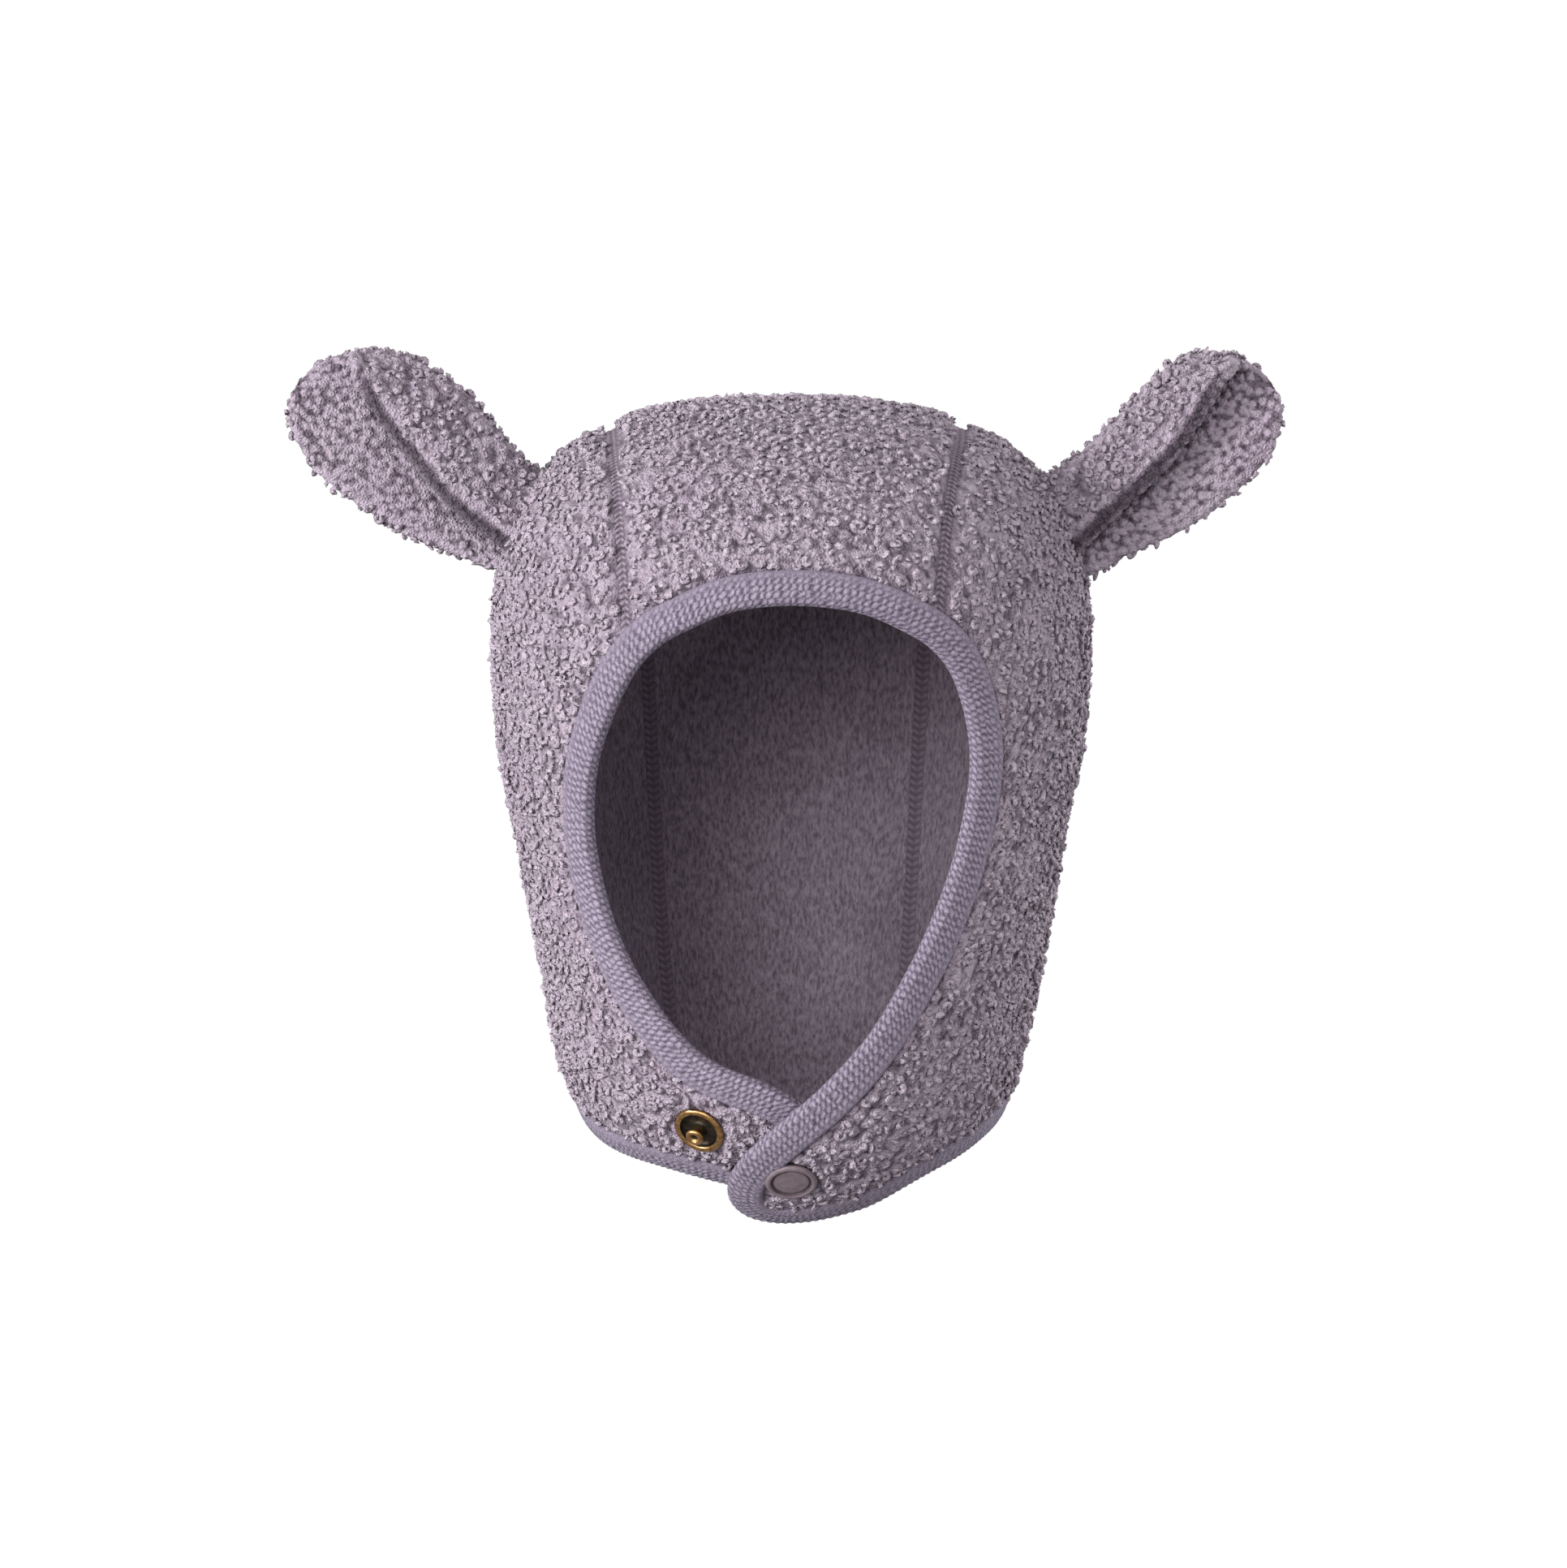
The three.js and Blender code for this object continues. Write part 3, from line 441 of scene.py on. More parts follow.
class Shader:
    """A Principled material with a few helpers to wire its nodes."""

    def __init__(self, name, roughness=0.9, metallic=0.0, sheen=0.0, sheen_tint=(1, 1, 1), specular=0.3):
        self.material = bpy.data.materials.new(name)
        self.material.use_nodes = True
        self.tree = self.material.node_tree
        self.main = self.tree.nodes["Principled BSDF"]
        self.main.inputs["Roughness"].default_value = roughness
        self.main.inputs["Metallic"].default_value = metallic
        self.main.inputs["Sheen Weight"].default_value = sheen
        self.main.inputs["Sheen Roughness"].default_value = 0.5
        self.main.inputs["Sheen Tint"].default_value = (*sheen_tint, 1)
        self.main.inputs["Specular IOR Level"].default_value = specular

    def node(self, kind, **values):
        made = self.tree.nodes.new(kind)
        for key, value in values.items():
            if hasattr(made, key):
                setattr(made, key, value)
            else:
                made.inputs[key.replace("_", " ")].default_value = value
        return made

    def link(self, source, target):
        self.tree.links.new(source, target)

    def value(self, name):
        return self.node("ShaderNodeAttribute", attribute_name=name).outputs["Fac"]

    def maths(self, operation, a, b=0.0, c=0.0):
        made = self.node("ShaderNodeMath", operation=operation)
        for socket, given in zip(made.inputs, (a, b, c)):
            if isinstance(given, (int, float)):
                socket.default_value = given
            else:
                self.link(given, socket)
        return made.outputs[0]

    def position(self):
        return self.node("ShaderNodeTexCoord").outputs["Object"]

    def noise(self, scale, detail=2.0, rough=0.5):
        made = self.node("ShaderNodeTexNoise", Scale=scale, Detail=detail, Roughness=rough)
        self.link(self.position(), made.inputs["Vector"])
        return made.outputs["Fac"]

    def ramp(self, factor, *stops):
        made = self.node("ShaderNodeValToRGB")
        elements = made.color_ramp.elements
        while len(elements) < len(stops):
            elements.new(0.5)
        for element, (place, colour) in zip(elements, stops):
            element.position = place
            element.color = (*colour, 1)
        self.link(factor, made.inputs["Fac"])
        return made.outputs["Color"]

    def mix(self, factor, a, b, kind="MIX"):
        made = self.node("ShaderNodeMix", data_type="RGBA", blend_type=kind)
        for socket, given in ((made.inputs[0], factor), (made.inputs[6], a), (made.inputs[7], b)):
            if isinstance(given, (int, float)):
                socket.default_value = given
            elif isinstance(given, tuple):
                socket.default_value = (*given, 1)
            else:
                self.link(given, socket)
        return made.outputs[2]

    def bump(self, height, distance, strength=1.0, below=None):
        made = self.node("ShaderNodeBump", Strength=strength, Distance=distance)
        self.link(height, made.inputs["Height"])
        if below is not None:
            self.link(below, made.inputs["Normal"])
        return made.outputs["Normal"]

    def finish(self, colour, normal=None):
        self.link(colour, self.main.inputs["Base Color"])
        if normal is not None:
            self.link(normal, self.main.inputs["Normal"])
        return self.material


def fleece_material():
    """Curly pile, painted darker towards its root as shade and lighter at its tips as a highlight; the
    attribute pile is how far up it a point is.
    """
    shader = Shader("pile", roughness=0.92, sheen=0.12, sheen_tint=(0.9, 0.86, 0.95), specular=0.2)
    # Painted shade at the root and deep in the pile, then the pile's own colour, then a painted highlight at
    # the tips
    root, painted_deep_shade = (0.035, 0.026, 0.036), (0.115, 0.09, 0.116)
    pile, tip = (0.335, 0.284, 0.336), (0.45, 0.39, 0.446)
    # Rings round Voronoi cells shape the bump, and through the ramp they paint shade off the rings, between
    # the curls
    cells = shader.node("ShaderNodeTexVoronoi", Scale=900.0, feature="F1")
    shader.link(shader.position(), cells.inputs["Vector"])
    ring = shader.maths("ABSOLUTE", shader.maths("SUBTRACT", cells.outputs["Distance"], 0.42))
    curl = shader.maths("SUBTRACT", 1.0, shader.maths("MULTIPLY", ring, 2.6))
    height = shader.maths("ADD", shader.value("pile"), shader.maths("MULTIPLY", curl, 0.16))
    colour = shader.ramp(height, (0.06, root), (0.2, painted_deep_shade), (0.48, pile), (1.0, tip))
    patches = shader.noise(55.0, 3.0)
    colour = shader.mix(shader.maths("MULTIPLY", patches, 0.5), colour, (0.33, 0.25, 0.33), "SOFT_LIGHT")
    fine = shader.bump(shader.noise(2600.0, 2.0), 0.0003, 0.5)
    return shader.finish(colour, shader.bump(curl, 0.0006, 0.8, fine))


def lining_material():
    """Brushed nap, drawn out lengthwise, with large lighter and darker places painted as the shade of soft
    folds.
    """
    shader = Shader("lining", roughness=0.9, sheen=0.25, sheen_tint=(0.8, 0.75, 0.9), specular=0.2)
    stretch = shader.node("ShaderNodeMapping", vector_type="POINT")
    stretch.inputs["Scale"].default_value = (1.0, 1.0, 0.38)
    shader.link(shader.position(), stretch.inputs["Vector"])
    grain = shader.node("ShaderNodeTexNoise", Scale=1250.0, Detail=2.0, Roughness=0.6)
    shader.link(stretch.outputs[0], grain.inputs["Vector"])
    colour = shader.ramp(grain.outputs["Fac"], (0.32, (0.155, 0.119, 0.152)), (0.68, (0.36, 0.301, 0.365)))
    # Painted shade of soft folds: large places of the lining made lighter and darker
    painted_fold_shade = shader.ramp(shader.noise(22.0, 2.0), (0.3, (0.32, 0.32, 0.32)), (0.7, (0.66, 0.66, 0.66)))
    colour = shader.mix(0.6, colour, painted_fold_shade, "SOFT_LIGHT")
    return shader.finish(colour, shader.bump(grain.outputs["Fac"], 0.0016, 0.9))


def knit_material():
    """Knit strip: a plain edge where it lies on the cloth, then rows that step along by half a stitch.

    along counts the stitches, and across is in millimetres from the edge of the strip outside."""
    shader = Shader("knit", roughness=0.88, sheen=0.12, sheen_tint=(0.85, 0.8, 1.0), specular=0.2)
    along, across = shader.value("along"), shader.value("across")
    wander = shader.maths("MULTIPLY", shader.noise(380.0, 3.0), 1.5)
    slanted = shader.maths("ADD", shader.maths("ADD", along, wander), shader.maths("MULTIPLY", across, 0.28))
    row = shader.maths("MULTIPLY", across, 0.62)
    step = shader.maths("MULTIPLY", shader.maths("FLOOR", row), 0.5)
    turn = shader.maths("MULTIPLY", shader.maths("ADD", slanted, step), 2 * math.pi)
    rib = shader.maths("ADD", 0.5, shader.maths("MULTIPLY", shader.maths("COSINE", turn), 0.5))
    middle = shader.maths("ABSOLUTE", shader.maths("SUBTRACT", shader.maths("FRACT", row), 0.5))
    rounded = shader.maths("SUBTRACT", 1.0, shader.maths("MULTIPLY", middle, 0.9))
    loop = shader.maths("MULTIPLY", shader.maths("POWER", rib, 0.6), rounded)
    stitched = shader.node("ShaderNodeMapRange", clamp=True)
    shader.link(across, stitched.inputs["Value"])
    for name, value in (("From Min", 2.2), ("From Max", 4.4), ("To Min", 0.18), ("To Max", 0.62)):
        stitched.inputs[name].default_value = value
    fibre = shader.noise(1900.0, 4.0)
    loop = shader.maths("MULTIPLY", shader.maths("SUBTRACT", loop, 0.5), stitched.outputs[0])
    fuzz = shader.maths("MULTIPLY", shader.maths("SUBTRACT", fibre, 0.5), 0.7)
    height = shader.maths("ADD", shader.maths("ADD", loop, 0.5), fuzz)
    # Painted shade in the hollows between the loops, the yarn's own colour, and a painted highlight on the
    # loops' crests
    painted_deep_shade, yarn, painted_crest_highlight = (0.06, 0.046, 0.072), (0.155, 0.126, 0.172), (0.3, 0.26, 0.328)
    colour = shader.ramp(height, (0.1, painted_deep_shade), (0.45, yarn), (0.85, painted_crest_highlight))
    return shader.finish(colour, shader.bump(height, 0.0007, 0.8))


def thread_material():
    """The seams' stitches, painted dark as shade between them and in the seam's groove; the attribute rib is
    how far up a stitch a point is, lowered in the groove.
    """
    shader = Shader("thread", roughness=0.9, specular=0.15)
    colour = shader.ramp(shader.value("rib"), (0.0, (0.05, 0.036, 0.05)), (1.0, (0.26, 0.207, 0.26)))
    return shader.finish(colour)


def brass_material():
    shader = Shader("brass", roughness=0.34, metallic=1.0, specular=0.5)
    worn = shader.noise(900.0, 4.0, 0.7)
    colour = shader.ramp(worn, (0.3, (0.15, 0.08, 0.035)), (0.65, (0.5, 0.29, 0.12)))
    return shader.finish(colour, shader.bump(worn, 0.0001, 0.3))


def resin_material():
    shader = Shader("resin", roughness=0.48, specular=0.35)
    colour = shader.ramp(shader.noise(600.0, 2.0), (0.3, (0.125, 0.092, 0.106)), (0.7, (0.17, 0.128, 0.146)))
    return shader.finish(colour)


def stud_well_shade_material():
    """Painted shade, near-black on the metal, in the stud's well and in the hole at the top of its post."""
    shader = Shader("stud_well_shade", roughness=0.5, metallic=0.8, specular=0.4)
    worn = shader.noise(800.0, 3.0)
    return shader.finish(shader.ramp(worn, (0.3, (0.012, 0.01, 0.008)), (0.8, (0.06, 0.045, 0.03))))


def shade_material():
    """Painted shade on the cap's resin, in its groove and under its rim."""
    shader = Shader("shade", roughness=0.7, specular=0.2)
    cloud = shader.noise(700.0, 2.0)
    return shader.finish(shader.ramp(cloud, (0.3, (0.045, 0.032, 0.04)), (0.7, (0.08, 0.058, 0.07))))


FLEECE, LINING, KNIT, THREAD = fleece_material(), lining_material(), knit_material(), thread_material()
BRASS, STUD_WELL_SHADE, RESIN, SHADE = brass_material(), stud_well_shade_material(), resin_material(), shade_material()

# ------------------------------------------------------------------ the pile

KNOB_SPACING = 2.35
KNOB_HEIGHT = 0.6
CURL_SHARE = 0.97  # the share of knobs that carry a ringlet
PEBBLE_SPACING = 1.8
PEBBLE_HEIGHT = 0.7


def scattered(points, spacing, weight=None):
    """Places picked from a grid of points so that none is nearer another than the spacing."""
    rows, cols = points.shape[:2]
    a = np.linalg.norm(points[1:, :-1] - points[:-1, :-1], axis=-1)
    b = np.linalg.norm(points[:-1, 1:] - points[:-1, :-1], axis=-1)
    area = (a * b).ravel()
    if weight is not None:
        area = area * weight[:-1, :-1].ravel()
    total = int(area.sum() / spacing**2 * 9)
    cell = random.choice(len(area), total, p=area / area.sum())
    i, j = cell // (cols - 1), cell % (cols - 1)
    u, v = random.random((2, total, 1))
    p = (1 - u) * (1 - v) * points[i, j] + u * (1 - v) * points[i + 1, j]
    p = p + (1 - u) * v * points[i, j + 1] + u * v * points[i + 1, j + 1]
    keys = np.floor(p / spacing).astype(int)
    taken, kept = {}, []
    near = [(x, y, z) for x in (-1, 0, 1) for y in (-1, 0, 1) for z in (-1, 0, 1)]
    for n, (key, q) in enumerate(zip(map(tuple, keys), p)):
        clear = True
        for dx, dy, dz in near:
            for other in taken.get((key[0] + dx, key[1] + dy, key[2] + dz), ()):
                d = other - q
                if d[0] * d[0] + d[1] * d[1] + d[2] * d[2] < spacing * spacing:
                    clear = False
                    break
            if not clear:
                break
        if clear:
            taken.setdefault(key, []).append(q)
            kept.append(n)
    return p[kept]


def knobbed(points, normals, seeds, fade):
    """Points pushed out into the knobs of the pile, and how far up its pile each one is."""
    tree = tree_of(seeds)
    size = random.uniform(0.72, 1.25, len(seeds))
    flat = points.reshape(-1, 3)
    up = np.zeros(len(flat))
    for n, p in enumerate(flat):
        _, i, d = tree.find(p)
        up[n] = size[i] * math.sqrt(max(0.0, 1 - (d / (0.78 * KNOB_SPACING)) ** 2))
    up = up.reshape(points.shape[:-1]) * fade
    return points + normals * (KNOB_HEIGHT * up)[..., None], up


def curl_shapes(kinds=5, segments=8, sides=3):
    """Short open loops of yarn, as points about their middle, and the faces that they share."""
    shapes = []
    for _ in range(kinds):
        sweep = math.radians(random.uniform(250, 330))
        a = np.linspace(0, sweep, segments + 1)
        radius = 0.8 + 0.1 * np.sin(a * 2 + random.uniform(0, 6))
        centre = np.stack([radius * np.cos(a), radius * np.sin(a), 0.3 * np.sin(a * 1.5)], -1)
        out = np.stack([np.cos(a), np.sin(a), 0 * a], -1)
        thick = 0.74 * np.sqrt(np.clip(np.minimum(a, sweep - a) / sweep * 8, 0.3, 1))
        rings = []
        for k in range(sides):
            b = 2 * math.pi * k / sides
            rings.append(centre + thick[:, None] * (math.cos(b) * out + math.sin(b) * np.array([0, 0, 1.0])))
        shapes.append(np.stack(rings, 1).reshape(-1, 3))
    return np.array(shapes), grid_faces(segments + 1, sides, wrap=True)


CURLS, CURL_FACES = curl_shapes()


def curls_at(places, normals):
    """Curls standing in the pile at places on it: their points, faces and heights up the pile."""
    count = len(places)
    kind = random.integers(0, len(CURLS), count)
    tilt = random.normal(0, 0.42, (count, 3))
    axis = normals * 0.9 + tilt
    axis /= np.linalg.norm(axis, axis=1, keepdims=True)
    other = np.cross(axis, random.normal(size=(count, 3)))
    other /= np.linalg.norm(other, axis=1, keepdims=True)
    basis = np.stack([other, np.cross(axis, other), axis], 1)
    scale = random.uniform(0.82, 1.2, (count, 1, 1))
    points = np.einsum("nvk,nkx->nvx", CURLS[kind] * scale, basis)
    points = points + (places + normals * random.uniform(0.35, 0.85, (count, 1)))[:, None]
    faces = CURL_FACES[None] + (np.arange(count) * CURLS.shape[1])[:, None, None]
    height = np.einsum("nvx,nx->nv", points - places[:, None], normals)
    # Heights up the pile, which the pile material paints as shade at a curl's foot and as a highlight at its
    # top
    return points.reshape(-1, 3), faces.reshape(-1, 4), np.clip(0.2 + height * 0.36, 0, 1).ravel()


# ------------------------------------------------------------------ panels


def panel_sheets(form, side):
    """The outer and inner sheets of a panel and how freely its pile stands, from 0 to 1.

    The cloth thins towards the binding, dips at the seams and is dented under its own snap. Its pile is
    flat under the binding, on the seams, under the snap and, on the left tab, where the right tab lies."""
    edge, seam = nearest(OWN_TREE[side], form), nearest(SEAM_TREE, form)
    past = edge - EDGE_REACH[OWN_EDGE[side]][nearest_index(OWN_TREE[side], form)]
    half = WALL / 2 - (WALL - PRESSED) / 2 * smooth(1 - (past + 0.6) / 3.5)
    dip = SEAM_DIP * np.exp(-((seam / SEAM_SPREAD) ** 2))
    free = smooth((past + 0.5) / 1.2) * smooth((seam - 1.3) / 1.3)
    for aim, owner in ((STUD_AIM, -1), (CAP_AIM, 1)):
        if owner == side:
            far = np.linalg.norm(form - on_form(np.array(aim)), axis=-1)
            free = free * smooth((far - SNAP_RADIUS + 0.2) / 1.0)
            dip = dip + SEAT_DENT * smooth((5.9 - far) / 0.7)
    if side < 0:
        over = nearest_index(OWN_TREE[1], form)
        inside = np.einsum("...k,...k->...", form - EDGE_POINTS[over], EDGE_INWARD[over])
        near = nearest(OWN_TREE[1], form) < OVERLAP_REACH
        free = free * (1 - smooth((inside + 1) / 2) * near)
    outer = raised(form, np.maximum(half - dip, PRESSED / 2 - 0.45), side)
    return outer, raised(form, -half, side), free


INNER_STEP = 3


def rim(rows, cols):
    """Faces that close the edge between a grid and the coarser grid behind it."""
    grid = np.arange(rows * cols).reshape(rows, cols)
    back = grid[::INNER_STEP, ::INNER_STEP]
    back = rows * cols + np.arange(back.size).reshape(back.shape)
    thirds, quads = [], []
    ends = [(grid[0, ::-1], back[0, ::-1]), (grid[-1], back[-1])]
    sides = [(grid[:, 0], back[:, 0]), (grid[::-1, -1], back[::-1, -1])]
    for o, i in ends + sides:
        a, b, c, d = o[:-1:3], o[1::3], o[2::3], o[3::3]
        thirds += [np.stack([a, b, i[:-1]], -1), np.stack([b, c, i[:-1]], -1)]
        quads.append(np.stack([c, d, i[1:], i[:-1]], -1))
    return np.concatenate(thirds), np.concatenate(quads)


def panel(name, form, side):
    """A panel's knobbed pile and smooth lining as one piece, and the ringlets on it as another."""
    outer, inner, free = panel_sheets(form, side)
    seeds = scattered(outer, KNOB_SPACING)
    fine, up = knobbed(outer, normal_at(form), seeds, free)
    rows, cols = form.shape[:2]
    thin = inner[::INNER_STEP, ::INNER_STEP]
    skin, inside = grid_faces(rows, cols), grid_faces(*thin.shape[:2], turned=True) + rows * cols
    thirds, quads = rim(rows, cols)
    points = np.concatenate([fine.reshape(-1, 3), thin.reshape(-1, 3)])
    # How far up the pile each point is; the pile material paints low and flattened pile darker as shade
    pile = np.concatenate([0.1 + 0.38 * up.ravel(), np.zeros(thin.size // 3)])
    slots = np.repeat([0, 1, 1, 1], [len(skin), len(inside), len(quads), len(thirds)])
    faces = [skin, inside, quads, thirds]
    made = mesh_object(name + "_pile", points, faces, [FLEECE, LINING], {"pile": pile}, slots)
    flat_form = on_form(seeds)
    _, _, seed_free = panel_sheets(flat_form[:, None], side)
    keep = (seed_free[:, 0] > 0.7) & (random.random(len(seeds)) < CURL_SHARE)
    points, faces, height = curls_at(seeds[keep], normal_at(flat_form[keep]))
    curls = mesh_object(name + "_curls", points, faces, FLEECE, {"pile": height})
    for piece in (made, curls):
        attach(piece, "root")
    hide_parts(name)


def even(count):
    """Shares that part a line of any length evenly and leave the gap at both its ends."""
    return lambda length: np.linspace(GAP / length, 1 - GAP / length, count)


def side_panel(name, side, edge, cols, rows):
    seam = seam_line(side, *SEAM_ENDS[side], GAP / 2)
    start = edge_between(corner(edge, "seam"), corner(edge, "tab"))
    high = edge_between(corner(edge, "tab"), corner(edge, "hem"))
    end = edge_between(corner(edge, "hem"), corner(edge, "nape"))[::-1]
    start[0], end[0] = seam[0], seam[-1]
    form = blended(start, end, seam, high, 1.8, 6, even(rows), np.linspace(0, 1, cols))
    if side > 0:
        form = form[::-1]
    panel(name, form, side)


def centre_panel(cols, rows):
    right, left = (seam_line(side, *SEAM_ENDS[side], -GAP / 2) for side in (1, -1))
    count = len(LOOP_ROWS)
    brow = edge_between(corner(LEFT_EDGE, "seam"), count + corner(RIGHT_EDGE, "seam"))
    nape = edge_between(corner(RIGHT_EDGE, "nape"), corner(LEFT_EDGE, "nape"))[::-1]
    brow[0], brow[-1], nape[0], nape[-1] = left[0], right[0], left[-1], right[-1]
    form = blended(brow, nape, left, right, 1, 1, even(rows), np.linspace(0, 1, cols))
    panel("centre_panel", form[::-1], 0)


FINE = 1.0
centre_panel(int(26 * FINE) * 3 + 1, int(98 * FINE) * 3 + 1)
side_panel("side_panel_left", -1, LEFT_EDGE, int(50 * FINE) * 3 + 1, int(90 * FINE) * 3 + 1)
side_panel("side_panel_right", 1, RIGHT_EDGE, int(50 * FINE) * 3 + 1, int(90 * FINE) * 3 + 1)

# ------------------------------------------------------------------ binding

RIB_PITCH = 1.75


def binding():
    """The knitted strip, folded over the whole cut edge from its outer face round to the inside."""
    stations = int(1600 * FINE) + 1
    share = np.linspace(0, 1, stations)
    point, inward, run, reach = bind_frame(share)
    ribs_round = round(run[-1] / RIB_PITCH)
    phase = share * ribs_round
    side = np.where(point[:, 1] > 0, 0, np.where((share < 0.5) | (share == 1), 1, -1))
    inside = PRESSED / 2 + GAP
    outside = inside + BIND_WALL
    end = [(1.0, PRESSED / 2), (0.995, outside - 0.8), (0.96, outside - 0.3)]
    front = end + [(f, outside + 0.25 * math.sin(math.pi * f)) for f in np.arange(0.88, 0.0, -0.08)]
    back = end + [(f, outside) for f in (0.8, 0.5, 0.2)]
    turn = np.radians(range(75, -90, -18))
    bow = [(-GAP - 0.72 * outside * math.cos(a), outside * math.sin(a)) for a in turn]
    # place, height, and whether the place is a share of how far in the binding lies or a distance
    section = [(f, h, 1) for f, h in front] + [(d, h, 0) for d, h in bow]
    section += [(f, -h, 1) for f, h in back[::-1]]
    rings, across, last = [], [], 0
    for n, (place, height, scaled) in enumerate(section):
        d = place * reach if scaled else np.full(stations, float(place))
        if n:
            last = last + math.hypot(float(np.mean(d)) - past_place, height - past_height)
        past_place, past_height = float(np.mean(d)), height
        lip = smooth((last - 5.6) / 1.2) if height > -1 else 1.0
        wave = np.cos(2 * np.pi * (phase + 0.1 * last)) * (0.04 + 0.09 * lip)
        groove = 0.16 * math.exp(-(((last - 4.2) / 0.5) ** 2)) + 0.12 * math.exp(-(((last - 7.9) / 0.5) ** 2))
        h = height + (wave - groove) * (1 if height >= 0 else -1)
        rings.append(raised(on_form(point + inward * d[:, None]), h, side))
        across.append(np.full(stations, last))
    points = np.stack(rings, 1)
    faces = grid_faces(stations, len(section), turned=True)
    along = np.repeat(phase[:, None], len(section), 1)
    made = mesh_object("binding_knit", points, faces, KNIT, {"along": along, "across": np.stack(across, 1)})
    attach(made, "root")
    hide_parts("binding")


binding()

# ------------------------------------------------------------------ seams


def band(name, side, height, width, pitch, steps, across, face, over_to, pale):
    """A row of crossed stitches lying over a seam, on the outer face (1) or the inner face (-1).

    The seam's own groove dips beside the band, towards over_to, and is painted dark as shade, and pale lifts
    the painted shade in the gaps between stitches."""
    line = along_line(SEAMS[side], np.linspace(0, 1, steps))
    line = line[nearest(EDGE_TREE, line) > BIND_WIDTH - 3.5]
    run = lengths(line)
    normal = normal_at(line)
    forward = np.gradient(line, axis=0)
    over = np.cross(forward, normal)
    over /= np.linalg.norm(over, axis=1, keepdims=True)
    place = np.linspace(-1, 1, across)
    v = np.abs(place)[None, :]
    phase = run[:, None] / pitch + v * 0.85
    rib = 0.5 + 0.5 * np.cos(2 * np.pi * phase)
    spine = np.exp(-((place / 0.16) ** 2))[None, :]
    rib = np.clip(rib * (1 - 0.55 * spine), 0, 1) * (1 - 0.35 * v**4)
    groove = np.exp(-(((place * over_to - 0.72) / 0.14) ** 2))[None, :]
    rise = height * (1 - 0.6 * v**3) + 0.4 * (rib - 0.5) * (1 - v**6) - 0.7 * groove
    # Painted shade: the stitch colour is darkened in the groove, and pale lifts the dark in the gaps
    rib = pale + (1 - pale) * rib * (1 - 0.85 * groove)
    form = on_form(line[:, None] + over[:, None] * (place * width / 2)[None, :, None])
    points = raised(form, face * rise, 0)
    faces = grid_faces(len(line), across, turned=face > 0)
    made = mesh_object(name, points, faces, THREAD, {"rib": rib})
    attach(made, "root")


for side, word in ((-1, "left"), (1, "right")):
    band("seam_" + word, side, 0.6, 4.4, 1.6, int(760 * FINE), 13, 1, -side, 0)
    band("seam_inside_" + word, side, 2.0, 6.6, 1.9, int(560 * FINE), 13, -1, side, 0.3)

# ------------------------------------------------------------------ ears


def ear_middle(rows, along):
    """The middle line of the folded cloth at distances along an ear, as heights across and forward."""
    low, spine, crease = (column(rows[:, 0], rows[:, k], along)[:, None] for k in (1, 2, 3))
    folded = smooth((64 - along) / 9)[:, None]
    sweep = np.maximum(math.pi * folded, 0.3)
    start = low + EAR_WALL / 2
    back = spine - EAR_WALL / 2 - EAR_FOLD * np.sin(np.minimum(sweep, math.pi / 2)) - start
    t = np.linspace(0, 1, 41)[None]
    up, out = [start + back * t], [3.2 * (1 - t) ** 2 + 0 * back]
    a = sweep * np.linspace(0, 1, 13)[None, 1:]
    up.append(up[0][:, -1:] + EAR_FOLD * np.sin(a))
    out.append(out[0][:, -1:] + EAR_FOLD * (1 - np.cos(a)))
    turn_up, turn_out = up[1][:, -1:], out[1][:, -1:]
    drop = np.maximum(turn_up - crease - EAR_WALL / 2, 0) * folded + 0.8
    t = np.linspace(0, 1, 31)[None, 1:]
    up.append(turn_up + np.cos(sweep) * drop * t)
    out.append(turn_out + np.sin(sweep) * drop * t + (1.8 * np.sin(math.pi * t) + 3.4 * t) * folded)
    return np.concatenate(up, 1), np.concatenate(out, 1)


def ear_surface(side, foot, rows, cols, stations):
    """A folded ear's skin from the head to its tip, and where each column lies round its section."""
    last = rows[-1, 0]
    # from inside the head to the tip, in steps that shorten towards it
    along = last - 0.15 - (last + 15.8) * (1 - np.linspace(0, 1, 400)) ** 1.15
    up, out = ear_middle(rows, along)
    du, do = np.gradient(up, axis=1), np.gradient(out, axis=1)
    size = np.hypot(du, do)
    end = np.minimum(np.arange(up.shape[1]), np.arange(up.shape[1])[::-1])
    edge = np.sqrt(np.clip(0.12 + end / 4.0, 0, 1))[None]
    tip = np.sqrt(np.clip((last - along) / 4, 0.04, 1))[:, None]
    half = EAR_WALL / 2 * edge * np.maximum(tip, 0.25)
    nu, no = do / size * half, -du / size * half
    up = np.concatenate([up + nu, (up - nu)[:, ::-1]], 1)
    out = np.concatenate([out + no, (out - no)[:, ::-1]], 1)
    tilt = math.radians(EAR_TILT)
    outward = np.array([side * math.cos(tilt), 0, math.sin(tilt)])
    upward = np.array([-side * math.sin(tilt), 0, math.cos(tilt)])
    forward = np.array([0, -1.0, 0])
    ring = []
    for k in range(len(along)):
        closed = np.stack([np.append(up[k], up[k][0]), np.append(out[k], out[k][0])], -1)
        run = lengths(closed)
        want = np.linspace(0, run[-1], cols + 1)[:-1]
        ring.append([np.interp(want, run, closed[:, 0]), np.interp(want, run, closed[:, 1])])
    ring = np.array(ring)
    points = np.array(foot) + along[:, None, None] * outward
    points = points + ring[:, 0, :, None] * upward + (ring[:, 1, :, None] - 3) * forward
    outside = level(points) > 0.985
    first = np.argmax(outside, axis=0)
    made = np.zeros((stations, cols, 3))
    for j in range(cols):
        line = points[first[j] :, j]
        made[:, j] = along_line(line, np.linspace(0, 1, stations))
    return made


